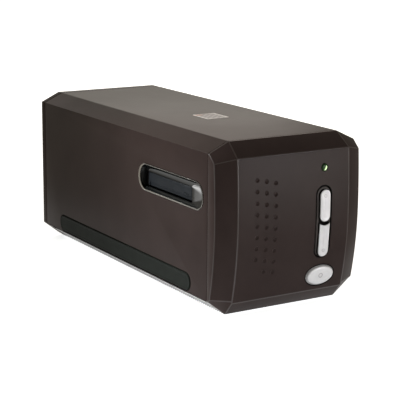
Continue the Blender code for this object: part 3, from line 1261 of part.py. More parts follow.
def carriage_optics():
    optic_z = from_base(optical_height())
    inner = CARRIAGE_WIDTH - 2 * CARRIAGE_WALL - 2 * SEAM
    mirror = part("folding_mirror", box_mesh((inner, MIRROR_FACE, MIRROR_THICKNESS)),
                  (0, from_nose(SLIT_BACK), optic_z), "glass")
    mirror.rotation_euler = (math.radians(-MIRROR_TILT_DEGREES), 0, 0)
    lens_y = from_nose(LENS_CENTRE_BACK)
    barrel = part("lens_barrel", round_mesh(LENS_RADIUS, LENS_LENGTH, "Y"), (0, lens_y, optic_z),
                  "black_plastic")
    cut(barrel, "lens_bore", round_mesh(LENS_BORE_RADIUS, LENS_LENGTH + 2 * OVERRUN, "Y"),
        (0, lens_y, optic_z))
    smooth(barrel)
    pieces = [mirror, barrel]
    glass_radius = LENS_BORE_RADIUS - SEAM
    reach = LENS_LENGTH / 2 - LENS_GLASS_INSET - LENS_GLASS_THICKNESS / 2
    for name, way in (("front_lens", -1), ("rear_lens", 1)):
        lens = part(name, round_mesh(glass_radius, LENS_GLASS_THICKNESS, "Y"),
                    (0, lens_y + way * reach, optic_z), "glass")
        round_off(lens, LENS_GLASS_THICKNESS * LENS_EDGE_SHARE, 1)
        smooth(lens)
        pieces.append(lens)
    wall = CARRIAGE_FRONT_BACK + CARRIAGE_LENGTH - CARRIAGE_WALL - SEAM
    board_z = CARRIAGE_FLOOR_HEIGHT + CARRIAGE_WALL + SEAM + SENSOR_BOARD_HEIGHT / 2
    board = part("sensor_board", box_mesh((SENSOR_BOARD_WIDTH, BOARD_THICKNESS, SENSOR_BOARD_HEIGHT)),
                 (0, from_nose(wall - BOARD_THICKNESS / 2), from_base(board_z)), "circuit_board")
    sensor_back = wall - BOARD_THICKNESS - SEAM - SENSOR_THICKNESS / 2
    sensor = part("image_sensor", box_mesh((SENSOR_LENGTH, SENSOR_THICKNESS, SENSOR_HEIGHT)),
                  (0, from_nose(sensor_back), optic_z), "chip")
    return pieces + [board, sensor]


def lead_nut():
    top = CARRIAGE_FLOOR_HEIGHT - SEAM
    low = SCREW_HEIGHT - NUT_SIZE / 2
    height = top - low
    nut = part("lead_nut", box_mesh((NUT_SIZE, NUT_LENGTH, height)),
               (0, from_nose(NUT_BACK + NUT_LENGTH / 2), from_base(low + height / 2)), "diffuser")
    cut(nut, "nut_bore", round_mesh(LEAD_SCREW_RADIUS + SEAM, NUT_LENGTH + 2 * OVERRUN, "Y", COARSE_SIDES),
        (0, from_nose(NUT_BACK + NUT_LENGTH / 2), from_base(SCREW_HEIGHT)))
    return nut


# Electronics at the rear

def main_board():
    middle = from_nose(MAIN_BOARD_FRONT_BACK + MAIN_BOARD_LENGTH / 2)
    board_z = board_top() - BOARD_THICKNESS / 2
    board = part("main_board", box_mesh((MAIN_BOARD_WIDTH, MAIN_BOARD_LENGTH, BOARD_THICKNESS)),
                 (0, middle, board_z), "circuit_board")
    through = BOARD_THICKNESS + 2 * OVERRUN
    gap = LEG_SIZE + 2 * OVERRUN
    for side in (-1, 1):
        cut(board, f"leg_gap_{side}", box_mesh((gap, gap, through)),
            (side * LEG_SPAN_REAR / 2, from_nose(LEG_BACK_REAR), board_z))
    names = ("front_left_main_screw", "front_right_main_screw", "rear_main_screw")
    for name, (across, along) in zip(names, board_screw_places()):
        cut(board, f"{name}_hole",
            round_mesh(SCREW_SHANK_RADIUS + SEAM, through, "Z", COARSE_SIDES), (across, along, board_z))
        screw_solid(name, BOARD_SCREW_LENGTH, "Z", (across, along, board_top() + SEAM), 1)
    part("processor_chip", box_mesh((PROCESSOR_SIZE, PROCESSOR_SIZE, PROCESSOR_THICKNESS)),
         (0, from_nose(PROCESSOR_BACK), socket_base() + PROCESSOR_THICKNESS / 2), "chip")


def sockets():
    front = REAR_Y - SOCKET_RUN_IN - SEAM
    length = REAR_Y - front
    middle = (front + REAR_Y) / 2
    usb_z = socket_base() + USB_HEIGHT / 2
    usb = part("usb_socket", box_mesh((USB_WIDTH, length, USB_HEIGHT)), (USB_X, middle, usb_z), "steel")
    cut(usb, "usb_mouth", box_mesh((USB_MOUTH_WIDTH, USB_MOUTH_DEPTH + OVERRUN, USB_MOUTH_HEIGHT)),
        (USB_X, REAR_Y + (OVERRUN - USB_MOUTH_DEPTH) / 2, usb_z))
    tongue = USB_TONGUE_LENGTH + SEAM
    fuse(usb, "usb_tongue", box_mesh((USB_TONGUE_WIDTH, tongue, USB_TONGUE_HEIGHT)),
         (USB_X, REAR_Y - USB_MOUTH_DEPTH - SEAM + tongue / 2, usb_z))
    jack_z = socket_base() + JACK_HEIGHT / 2
    jack = part("power_jack", box_mesh((JACK_WIDTH, length, JACK_HEIGHT)), (JACK_X, middle, jack_z),
                "black_plastic")
    cut(jack, "jack_bore", round_mesh(JACK_BORE_RADIUS, JACK_BORE_DEPTH + OVERRUN, "Y"),
        (JACK_X, REAR_Y + (OVERRUN - JACK_BORE_DEPTH) / 2, jack_z))
    pin = JACK_PIN_LENGTH + SEAM
    fuse(jack, "jack_pin", round_mesh(JACK_PIN_RADIUS, pin, "Y", COARSE_SIDES),
         (JACK_X, REAR_Y - JACK_BORE_DEPTH - SEAM + pin / 2, jack_z))


# Assembly

upper_cover()
side_pads()
bottom_tray()
feet()
case_screws()
rear_panel()
front_bezel()
scan_buttons()
power_button()
button_electronics()
slot_trims()
film_guide()
scan_chassis()
scan_drive()
carriage()
main_board()
sockets()
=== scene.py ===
"""Looks of the film negative scanner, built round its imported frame. Metres, +Z up, front faces -Y."""
import json
from itertools import product
from math import acos, asin, ceil, cos, dist, hypot, pi, radians, sin, tan

import bmesh
import bpy
from mathutils import Matrix, Vector


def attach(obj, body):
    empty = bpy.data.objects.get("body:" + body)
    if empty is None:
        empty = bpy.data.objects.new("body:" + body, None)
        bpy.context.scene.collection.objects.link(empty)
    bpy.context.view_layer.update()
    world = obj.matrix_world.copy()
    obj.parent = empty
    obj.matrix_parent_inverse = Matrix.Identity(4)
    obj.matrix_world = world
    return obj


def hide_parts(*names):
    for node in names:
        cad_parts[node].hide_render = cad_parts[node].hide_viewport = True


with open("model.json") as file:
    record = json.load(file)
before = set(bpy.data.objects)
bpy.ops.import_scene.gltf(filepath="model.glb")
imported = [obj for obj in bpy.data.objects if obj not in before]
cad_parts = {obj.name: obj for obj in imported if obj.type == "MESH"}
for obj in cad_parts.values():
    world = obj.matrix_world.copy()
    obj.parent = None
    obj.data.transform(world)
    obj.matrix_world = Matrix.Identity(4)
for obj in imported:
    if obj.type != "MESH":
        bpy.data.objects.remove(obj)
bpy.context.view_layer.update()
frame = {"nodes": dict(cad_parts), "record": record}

# Sizes of the frame that the pieces follow

BODY_WIDTH = 0.1192
BODY_HEIGHT = 0.1193
BODY_DEPTH = 0.2749
TOP_CHAMFER_WIDTH = 0.0152
TOP_CHAMFER_HEIGHT = 0.0071
BASE_CHAMFER_WIDTH = 0.0141
BASE_CHAMFER_HEIGHT = 0.0111
WALL = 0.0024
SEAM = 0.0003
BUTTON_PROUD = 0.0018
NOSE_Y = BUTTON_PROUD / 2 - BODY_DEPTH / 2
REAR_Y = NOSE_Y + BODY_DEPTH
BASE_Z = 0.0015
TOP_Z = BASE_Z + BODY_HEIGHT
SIDE_X = BODY_WIDTH / 2

BEZEL_DEPTH = 0.016
BOW_HEIGHT = BODY_HEIGHT * 0.545
BOW_RADIUS_UPPER = 0.555
BOW_RADIUS_LOWER = 0.24
PANEL_SIDE_BEVEL = 0.014
PANEL_TOP_BEVEL = 0.0097
PANEL_BOTTOM = 0.0098
PANEL_WIDTH = BODY_WIDTH - 2 * PANEL_SIDE_BEVEL
PANEL_TOP = BODY_HEIGHT - PANEL_TOP_BEVEL
RIDGE_SETBACK = 0.0068
RIDGE_TOP = BODY_HEIGHT - 0.013
RIM_DEPTH = 0.001

REAR_CAP_DEPTH = 0.007
SIDE_SEAM_HEIGHT = 0.0113

SLOT_LENGTH = 0.0888
SLOT_HEIGHT = 0.0197
SLOT_BACK = 0.0655
SLOT_UP = BODY_HEIGHT * 0.6806
TRIM_PROUD = 0.0003
TRIM_FLANGE = 0.0015
SCOOP_DEPTH = 0.003
MOUTH_LENGTH = 0.0635
MOUTH_HEIGHT = 0.0116
MOUTH_SHIFT_BACK = 0.0066
MOUTH_SHIFT_DOWN = 0.0018
MOUTH_EDGE = 0.0012
MOUTH_BACK = SLOT_BACK + MOUTH_SHIFT_BACK
MOUTH_UP = SLOT_UP - MOUTH_SHIFT_DOWN
MOUTH_SPARE = 0.0016
FLAP_SPARE = 0.0022

CONTROL_X = SIDE_X - 0.0349
BUTTON_WIDTH = 0.0083
BUTTON_TOP = BODY_HEIGHT - 0.037
BUTTON_BOTTOM = 0.0349
BUTTON_SPLIT = BUTTON_BOTTOM + (BUTTON_TOP - BUTTON_BOTTOM) * 0.53
BUTTON_SPLIT_GAP = 0.0027
LOWER_TOP = BUTTON_SPLIT - BUTTON_SPLIT_GAP
BUTTON_TAIL = 0.01
RECESS_WIDTH = 0.0137
RECESS_X = CONTROL_X - 0.0003
RECESS_TOP = BUTTON_TOP + 0.0031
RECESS_BOTTOM = BUTTON_BOTTOM - 0.0014
RECESS_MIDDLE = (RECESS_TOP + RECESS_BOTTOM) / 2
RECESS_DEPTH = 0.0015
POWER_X = CONTROL_X + 0.0005
POWER_UP = 0.0207
POWER_WIDTH = 0.0216
POWER_DEPTH = 0.013
POWER_RING = 0.0018
POWER_TAIL = 0.0101
LIGHT_UP = BODY_HEIGHT - 0.0219
LIGHT_RADIUS = 0.0018
LIGHT_TAIL = 0.0126

DIMPLE_X = 0.0293 - SIDE_X
DIMPLE_COLUMN_PITCH = 0.0074
DIMPLE_TOP = BODY_HEIGHT - 0.0252
DIMPLE_BOTTOM = 0.0317
DIMPLE_STAGGER = 0.0016
DIMPLE_ROWS = (8, 9, 9)
DIMPLE_PITCH = (DIMPLE_TOP - DIMPLE_BOTTOM) / 8

PAD_FRONT = 0.0373
PAD_LENGTH = BODY_DEPTH - PAD_FRONT - 0.0338
PAD_UP = 0.0123
PAD_HEIGHT = 0.0121
PAD_SEAT = 0.001
PAD_PROUD = 0.0005
PAD_GROOVE = 0.0008

USB_X = 0.0376 - SIDE_X
USB_WIDTH = 0.012
USB_HEIGHT = 0.0109
JACK_X = 0.0656 - SIDE_X
JACK_SIZE = 0.011
SOCKET_LOW = BASE_Z + 0.0077 + SEAM + 0.0016 + SEAM
SOCKET_FRONT = REAR_Y - 0.014 - SEAM

CUT_FRONT = NOSE_Y - 0.004
CUT_REAR = REAR_Y + WALL
SIDES = ((-1, "left"), (1, "right"))


def behind(distance):
    return NOSE_Y + distance


def over_base(height):
    return BASE_Z + height


def bow(height):
    away = height - BOW_HEIGHT
    radius = BOW_RADIUS_UPPER if away > 0 else BOW_RADIUS_LOWER
    return away * away / (2 * radius)


PAD_MIDDLE = (behind(PAD_FRONT + PAD_LENGTH / 2), over_base(PAD_UP + PAD_HEIGHT / 2))
SLOT_MIDDLE = (behind(SLOT_BACK), over_base(SLOT_UP))


# Materials

FINISHES = {}
SLOTS = {}


def feed(node, inputs):
    """Link or set each of the node's inputs."""
    for name, value in inputs.items():
        if isinstance(value, bpy.types.NodeSocket):
            node.id_data.links.new(value, node.inputs[name])
        else:
            node.inputs[name].default_value = value


def add(near, kind, inputs, **settings):
    """New node in the tree of another node or socket."""
    node = near.id_data.nodes.new("ShaderNode" + kind)
    for name, value in settings.items():
        setattr(node, name, value)
    feed(node, inputs)
    return node


def noise(coords, scale, detail=3, rough=0.55, stretch=None):
    if stretch:
        coords = add(coords, "Mapping", {"Vector": coords, "Scale": stretch}).outputs["Vector"]
    inputs = {"Vector": coords, "Scale": scale, "Detail": detail, "Roughness": rough}
    return add(coords, "TexNoise", inputs).outputs["Fac"]


def ramp(fac, stops):
    node = add(fac, "ValToRGB", {"Fac": fac})
    bar = node.color_ramp
    while len(bar.elements) < len(stops):
        bar.elements.new(0.5)
    for element, (place, colour) in zip(bar.elements, stops):
        element.position = place
        element.color = (*colour, 1)
    return node.outputs["Color"]


def span(fac, low, high, start=0, end=1, kind="LINEAR"):
    """Fac from start to end, spread over low to high."""
    inputs = {"Value": fac, "From Min": start, "From Max": end, "To Min": low, "To Max": high}
    return add(fac, "MapRange", inputs, interpolation_type=kind).outputs["Result"]


def bumped(shader, heights):
    """Chain of bumps: each is (height output, distance, strength)."""
    normal = None
    for fac, distance, strength in heights:
        node = add(fac, "Bump", {"Distance": distance, "Strength": strength, "Height": fac})
        if normal:
            feed(node, {"Normal": normal})
        normal = node.outputs["Normal"]
    feed(shader, {"Normal": normal})


def blank(name, slot=None):
    """New finish for a slot, by default the one of its name: its shader and the coordinates."""
    made = FINISHES[name] = bpy.data.materials.new(name)
    SLOTS[name] = name if slot is None else slot
    made.use_nodes = True
    shader = made.node_tree.nodes["Principled BSDF"]
    return shader, add(shader, "TexCoord", {}).outputs["Object"]


def surface(name, dark, light, rough, scale, bumps=(), slot=None, stretch=None, **sockets):
    """Mottled colour between dark and light, uneven roughness; bumps are (scale, distance, strength)."""
    shader, coords = blank(name, slot)
    cloud = noise(coords, scale, 4, 0.6, stretch)
    patch = noise(coords, scale * 0.45, 5, 0.65, stretch)
    feed(shader, {key.replace("_", " "): value for key, value in sockets.items()})
    feed(shader, {"Base Color": ramp(cloud, ((0.3, dark), (0.7, light))), "Roughness": span(patch, *rough)})
    if bumps:
        bumped(shader, [(noise(coords, size, 2, 0.5, stretch), distance, strength)
                        for size, distance, strength in bumps])
    return shader


def board_surface():
    """Green solder mask with faint tracks."""
    shader, coords = blank("circuit_board")
    bricks = add(coords, "TexBrick", {
        "Vector": coords, "Scale": 150, "Mortar Size": 0.035, "Color1": (0.01, 0.075, 0.03, 1),
        "Color2": (0.013, 0.09, 0.036, 1), "Mortar": (0.03, 0.16, 0.06, 1)})
    feed(shader, {"Base Color": bricks.outputs["Color"], "Roughness": span(noise(coords, 200), 0.28, 0.45)})
    bumped(shader, [(bricks.outputs["Fac"], 0.00003, 0.3)])


BROWN = ((0.0165, 0.0112, 0.0104), (0.0205, 0.0142, 0.0132))
surface("brown_paint", *BROWN, (0.34, 0.42), 35, ((2600, 0.00002, 0.3), (420, 0.00002, 0.08)), IOR=1.13)
surface("paint_edge", *BROWN, (0.3, 0.38), 35, ((2600, 0.00002, 0.2),), "brown_paint", IOR=1.4)
surface("grey_plastic", (0.27, 0.27, 0.265), (0.32, 0.32, 0.315), (0.42, 0.55), 90,
        ((2200, 0.00003, 0.4),), IOR=1.25)
surface("black_gloss", (0.004, 0.0046, 0.0048), (0.006, 0.0066, 0.0068), (0.06, 0.11), 50,
        ((300, 0.00001, 0.05),), IOR=1.2)
surface("black_plastic", (0.01, 0.01, 0.0105), (0.016, 0.016, 0.0165), (0.4, 0.56), 110,
        ((2400, 0.00003, 0.35),))
surface("door_plastic", (0.008, 0.0095, 0.0115), (0.0115, 0.0135, 0.016), (0.3, 0.42), 80,
        ((2000, 0.00002, 0.2),), "black_plastic", IOR=1.13)
surface("silver_paint", (0.38, 0.385, 0.4), (0.44, 0.445, 0.46), (0.38, 0.48), 140,
        ((3200, 0.00001, 0.25),), Metallic=0.12, IOR=1.35)
surface("rubber", (0.005, 0.0066, 0.0054), (0.0076, 0.0096, 0.0082), (0.5, 0.66), 120,
        ((1800, 0.00006, 0.5), (260, 0.00005, 0.15)), IOR=1.14)
surface("steel", (0.42, 0.42, 0.43), (0.6, 0.6, 0.61), (0.22, 0.36), 160,
        ((900, 0.00001, 0.2),), stretch=(1, 6, 1), Metallic=1)
surface("chip", (0.01, 0.01, 0.011), (0.018, 0.018, 0.019), (0.38, 0.5), 260, ((2800, 0.00002, 0.4),))
surface("glass", (0.7, 0.82, 0.86), (0.78, 0.88, 0.9), (0.02, 0.05), 40, Transmission_Weight=0.9, IOR=1.52)
surface("mirror", (0.8, 0.82, 0.83), (0.86, 0.88, 0.88), (0.01, 0.04), 40, Metallic=1)
surface("diffuser", (0.78, 0.78, 0.76), (0.86, 0.86, 0.84), (0.5, 0.65), 120,
        ((1500, 0.00002, 0.3),), Subsurface_Weight=0.15)
surface("contact_gold", (0.62, 0.42, 0.14), (0.78, 0.56, 0.22), (0.2, 0.32), 300, slot="steel", Metallic=1)
surface("button_skirt", (0.17, 0.17, 0.175), (0.22, 0.22, 0.225), (0.36, 0.48), 140,
        ((2600, 0.00001, 0.25),), "silver_paint", Metallic=0.2)
surface("collar_black", (0.03, 0.027, 0.026), (0.04, 0.036, 0.034), (0.4, 0.52), 140,
        ((2600, 0.00001, 0.25),), "black_plastic", IOR=1.15)
# Lighter satin metal for the slot's edge: a painted highlight where the black trim's reflection falls
surface("slot_highlight_lip", (0.22, 0.215, 0.2), (0.3, 0.29, 0.27), (0.22, 0.32), 120, slot="black_gloss",
        Metallic=0.9)
surface("tray_line", (0.045, 0.045, 0.044), (0.06, 0.06, 0.058), (0.45, 0.6), 140,
        slot="grey_plastic", IOR=1.2)
surface("mark_grey", (0.2, 0.2, 0.21), (0.26, 0.26, 0.27), (0.35, 0.5), 200, slot="silver_paint")
# Near-black finish laid in recesses, grooves and gaps: painted shade
surface("shade_black", (0.004, 0.0036, 0.0036), (0.0055, 0.005, 0.005), (0.45, 0.6), 120,
        ((2000, 0.00002, 0.2),), "black_plastic", IOR=1.06)
surface("light_ring", (0.0012, 0.0065, 0.0008), (0.002, 0.0095, 0.0014), (0.35, 0.5), 200,
        slot="light_pipe", IOR=1.08)
surface("foil_edge", (0.34, 0.33, 0.32), (0.52, 0.5, 0.48), (0.35, 0.5), 260, slot="", Metallic=0.3)
board_surface()
FINISHES["light_pipe"] = FINISHES["diffuser"]
for row in frame["record"]["subparts"]:
    slots = frame["nodes"][row["node"]].data.materials
    slots.clear()
    slots.append(FINISHES[row["material_slot"]])


# Pieces

def shade(item, angle):
    item.data.shade_smooth()
    item.data.set_sharp_from_angle(angle=radians(angle))


def placed(name, data):
    item = bpy.data.objects.new(name, data)
    bpy.context.scene.collection.objects.link(item)
    return item


def shape(name, bm):
    """Object of the bmesh, with outward normals. On its own it is a cutting shape."""
    bmesh.ops.recalc_face_normals(bm, faces=bm.faces)
    mesh = bpy.data.meshes.new(name)
    bm.to_mesh(mesh)
    bm.free()
    return placed(name, mesh)


def piece(name, bm, finish, body="scanner", replaces=None, slot=None, angle=30):
    item = shape(name, bm)
    item.data.materials.append(FINISHES[finish])
    shade(item, angle)
    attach(item, body)
    if replaces:
        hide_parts(replaces)
    slot = slot or SLOTS[finish]
    return item


def settle(item, angle):
    """Turn the modifiers into plain mesh."""
    bpy.context.view_layer.update()
    graph = bpy.context.evaluated_depsgraph_get()
    old = item.data
    mesh = bpy.data.meshes.new_from_object(item.evaluated_get(graph))
    item.modifiers.clear()
    item.data = mesh
    bpy.data.meshes.remove(old)
    mesh.name = item.name
    shade(item, angle)


def carve(item, tools, angle=30):
    """Cut the tools out of the item and drop them."""
    for cutter in tools:
        step = item.modifiers.new(cutter.name, "BOOLEAN")
        step.solver = "EXACT"
        step.object = cutter
    settle(item, angle)
    for cutter in tools:
        bpy.data.objects.remove(cutter, do_unlink=True)


def add_loft(bm, rings, endless=False):
    loops = [[bm.verts.new(point) for point in ring] for ring in rings]
    for first, second in zip(loops, loops[1:] + loops[:endless]):
        for face in zip(first, first[1:] + first[:1], second[1:] + second[:1], second):
            bm.faces.new(face)
    if not endless:
        bm.faces.new(loops[0])
        bm.faces.new(loops[-1])


def loft(rings, endless=False):
    bm = bmesh.new()
    add_loft(bm, rings, endless)
    return bm


def tube(rings):
    return loft(rings, True)


def rounded_box(length, height, radius, steps):
    points = []
    for along, up, quarter in ((1, -1, -1), (1, 1, 0), (-1, 1, 1), (-1, -1, 2)):
        for step in range(steps + 1):
            turn = pi / 2 * (quarter + step / steps)
            points.append((along * (length / 2 - radius) + radius * cos(turn),
                           up * (height / 2 - radius) + radius * sin(turn)))
    return points


def stadium(length, height, steps):
    return rounded_box(length, height, min(length, height) / 2 * 0.97, steps)


def ellipse(width, height, sides):
    return [(width / 2 * cos(2 * pi * step / sides),
             height / 2 * sin(2 * pi * step / sides)) for step in range(sides)]


def circle(radius, sides):
    return ellipse(2 * radius, 2 * radius, sides)


def between(start, end, share):
    return (start[0] + (end[0] - start[0]) * share, start[1] + (end[1] - start[1]) * share)


def moved(points, across, up):
    return [(x + across, y + up) for x, y in points]


def scaled(points, share_x, share_z):
    return [(across * share_x, up * share_z) for across, up in points]


def along_y(outline, y):
    return [(across, y, up) for across, up in outline]


def side_view(outline, side, depth, middle=(0, 0)):
    """Ring on a side face: outline in Y and Z round the middle, depth measured in from that side."""
    return [(side * (SIDE_X - depth), along + middle[0], up + middle[1]) for along, up in outline]


def on_panel(outline, across, middle, depth):
    """The outline laid on the bowed panel, at depth behind it."""
    return [(x + across, behind(depth + bow(up + middle)), up + over_base(middle)) for x, up in outline]


def prism_y(name, outline, front, back):
    return shape(name, loft([along_y(outline, front), along_y(outline, back)]))


def side_prism(name, outline, side, middle, outer, inner):
    return shape(name, loft([side_view(outline, side, depth, middle) for depth in (outer, inner)]))


def body_corners():
    right = [(SIDE_X - BASE_CHAMFER_WIDTH, BASE_Z), (SIDE_X, over_base(BASE_CHAMFER_HEIGHT)),
             (SIDE_X, TOP_Z - TOP_CHAMFER_HEIGHT), (SIDE_X - TOP_CHAMFER_WIDTH, TOP_Z)]
    return right + [(-across, up) for across, up in reversed(right)]


def drawn_in(points, inset, closed=True):
    """The outline moved in by inset, with mitred corners."""
    normals = []
    for start, end in zip(points, points[1:] + points[:1]):
        run = dist(start, end)
        normals.append(((start[1] - end[1]) / run, (end[0] - start[0]) / run))
    if not closed:
        normals[-1] = normals[-2]
    result = []
    for index, point in enumerate(points):
        after = normals[index]
        before = normals[index - 1] if closed or index else after
        mean = (before[0] + after[0], before[1] + after[1])
        reach = inset / (mean[0] * before[0] + mean[1] * before[1])
        result.append((point[0] + mean[0] * reach, point[1] + mean[1] * reach))
    return result


def softened(points, radii, steps=6):
    """Round the corners whose radius is not zero."""
    result = []
    for index, (point, radius) in enumerate(zip(points, radii)):
        if not radius:
            result.append(point)
            continue
        arms = []
        for other in (points[index - 1], points[(index + 1) % len(points)]):
            run = dist(other, point)
            arms.append(((other[0] - point[0]) / run, (other[1] - point[1]) / run))
        bend = acos(max(-1, min(1, arms[0][0] * arms[1][0] + arms[0][1] * arms[1][1])))
        reach = radius / tan(bend / 2)
        for step in range(steps + 1):
            near, far = (1 - step / steps) ** 2, (step / steps) ** 2
            result.append((point[0] + reach * (arms[0][0] * near + arms[1][0] * far),
                           point[1] + reach * (arms[0][1] * near + arms[1][1] * far)))
    return result


def inset_softened(corners, radii, inset, closed=True):
    """The outline moved in by inset, its corners rounded by what is left of their radii."""
    left = [max(radius - inset, 0.0002) if radius else 0 for radius in radii]
    return softened(drawn_in(corners, inset, closed), left)


def round_profile(radius, steps=4):
    """(inset, distance from the end) pairs of a rounded end edge."""
    return [(radius * (1 - sin(pi / 2 * step / steps)),
             radius * (1 - cos(pi / 2 * step / steps))) for step in range(steps + 1)]


def rounded_over(radius, steps=4):
    """The same pairs from the side to the end, without the first."""
    return round_profile(radius, steps)[::-1][1:]


# Upper cover: a folded sleeve with rounded creases and rounded front and rear edges

COVER_REACH = 0.00018
CREASES = (0, 0.0003, 0.003, 0.003, 0.0003, 0)


def cover():
    seam = over_base(SIDE_SEAM_HEIGHT)
    corners = [(SIDE_X, seam), *body_corners()[2:6], (-SIDE_X, seam)]
    front = behind(BEZEL_DEPTH) - COVER_REACH
    rear = REAR_Y - REAR_CAP_DEPTH - SEAM
    edge = round_profile(0.0005)
    layers = [(WALL, front)] + [(inset, front + run) for inset, run in edge]
    layers += [(inset, rear - run) for inset, run in reversed(edge)] + [(WALL, rear)]
    outlines = [inset_softened(corners, CREASES, inset, False) for inset, _ in layers]
    rings = [[(across, y, up) for (across, up), (_, y) in zip(line, layers)] for line in zip(*outlines)]
    item = piece("cover_shell", loft(rings), "brown_paint", replaces="upper_cover")
    window = slot_outline(SEAM, 16)
    seat = pad_outline(PAD_GROOVE, 16)
    for side, _ in SIDES:
        carve(item, [side_prism("window", window, side, SLOT_MIDDLE, -WALL, 2 * WALL),
                     side_prism("seat", seat, side, PAD_MIDDLE, -WALL, PAD_SEAT)])


# Side pads

def pad_outline(grow, steps=14):
    return stadium(PAD_LENGTH + 2 * grow, PAD_HEIGHT + 2 * grow, steps)


def pads():
    for side, name in SIDES:
        def rings(layers):
            return [side_view(pad_outline(grow), side, depth, PAD_MIDDLE) for grow, depth in layers]
        layers = [(0, PAD_SEAT - 0.00025), (0, 0.0001)]
        layers += [(-inset, run - PAD_PROUD) for inset, run in rounded_over(0.0005)]
        layers += [(-0.0012, -PAD_PROUD), (-0.0015, 0.0001 - PAD_PROUD), (-0.0022, 0.00012 - PAD_PROUD)]
        piece(f"{name}_rubber_pad", loft(rings(layers)), "rubber", replaces=f"{name}_side_pad", angle=50)
        # Black liner in the groove round each pad: painted shade along the pad's edges
        outer, bed = PAD_GROOVE - 0.00005, PAD_SEAT - 0.0002
        layers = ((outer, 0.00015), (PAD_GROOVE - 0.0002, 0.00015), (PAD_GROOVE - 0.0002, bed),
                  (-0.001, bed), (-0.001, PAD_SEAT), (outer, PAD_SEAT))
        piece(f"{name}_pad_groove_shade", tube(rings(layers)), "shade_black")


# Strips on the bottom tray's slopes

def tray_sides():
    """Each strip lies between two shares of the way down the slope, and stands off it by its lift."""
    front, rear = behind(BEZEL_DEPTH + 0.001), REAR_Y - REAR_CAP_DEPTH - SEAM
    run = hypot(BASE_CHAMFER_WIDTH, BASE_CHAMFER_HEIGHT)
    out_x, out_z = BASE_CHAMFER_HEIGHT / run, -BASE_CHAMFER_WIDTH / run
    # tray_shade is a black strip along the top of each slope: painted shade below the cover's edge. rear_lip
    # covers the rear 10 mm of the slope in brown, so the slope is dark there.
    strips = (("tray_line", 0.42, 0.58, front, rear - 0.0105, 0.00015, "tray_line", None),
              ("tray_shade", 0, 0.13, front, rear, 0.00012, "shade_black", "grey_plastic"),
              ("rear_lip", 0.01, 0.985, rear - 0.01, rear, 0.0002, "brown_paint", None))
    for (side, name), (strip, first, last, start, end, lift, finish, slot) in product(SIDES, strips):
        edge = (last - first) * 0.08
        layers = ((first, -0.0001), (first, lift * 0.6), (first + edge, lift), (last - edge, lift),
                  (last, lift * 0.6), (last, -0.0001))
        outline = [(side * (SIDE_X - BASE_CHAMFER_WIDTH * share + out_x * off),
                    over_base(BASE_CHAMFER_HEIGHT * (1 - share)) + out_z * off) for share, off in layers]
        piece(f"{name}_{strip}", loft([along_y(outline, start), along_y(outline, end)]), finish, slot=slot)


# Rear cap

VENTS = 7
VENT_PITCH = 0.006
VENT_UP = over_base(BODY_HEIGHT - 0.0443)
WELL_DEPTH = 0.0005


def rear_hole(outline, across, up, depth=2 * WALL):
    return prism_y("hole", moved(outline, across, up), REAR_Y - depth, CUT_REAR)


def rear_cap():
    front = REAR_Y - REAR_CAP_DEPTH
    layers = [(WALL, REAR_Y - WALL), (WALL, front)]
    layers += [(inset, front + run) for inset, run in round_profile(0.0004)]
    layers += [(inset, REAR_Y - run) for inset, run in reversed(round_profile(0.0012, 6))]
    radii = (0.0009, 0.0009, 0.0009, 0.003, 0.003, 0.0009, 0.0009, 0.0009)
    rings = [along_y(inset_softened(body_corners(), radii, inset), y) for inset, y in layers]
    item = piece("rear_cap", loft(rings), "brown_paint", replaces="rear_panel")
    tools = []
    for across, width, height in ((USB_X, USB_WIDTH, USB_HEIGHT), (JACK_X, JACK_SIZE, JACK_SIZE)):
        window = rounded_box(width + 2 * SEAM, height + 2 * SEAM, 0.0006, 4)
        tools.append(rear_hole(window, across, SOCKET_LOW + height / 2))
    for number in range(VENTS):
        tools.append(rear_hole(stadium(0.0022, 0.024, 6), (number - VENTS // 2) * VENT_PITCH, VENT_UP))
    well = rounded_box(0.056, 0.0185, 0.0025, 6)
    carve(item, [*tools, rear_hole(well, -0.008, SOCKET_LOW + 0.0065, WELL_DEPTH)])


# Front bezel

EDGE_WIDTH = 0.0006
EDGE_LIMIT = 14
DIMPLE_BOWL = ((-0.0012, 0.002), (0, 0.00165), (0.0001, 0.0015), (0.00045, 0.00105),
               (0.0007, 0.00065), (0.0008, 0.00025))


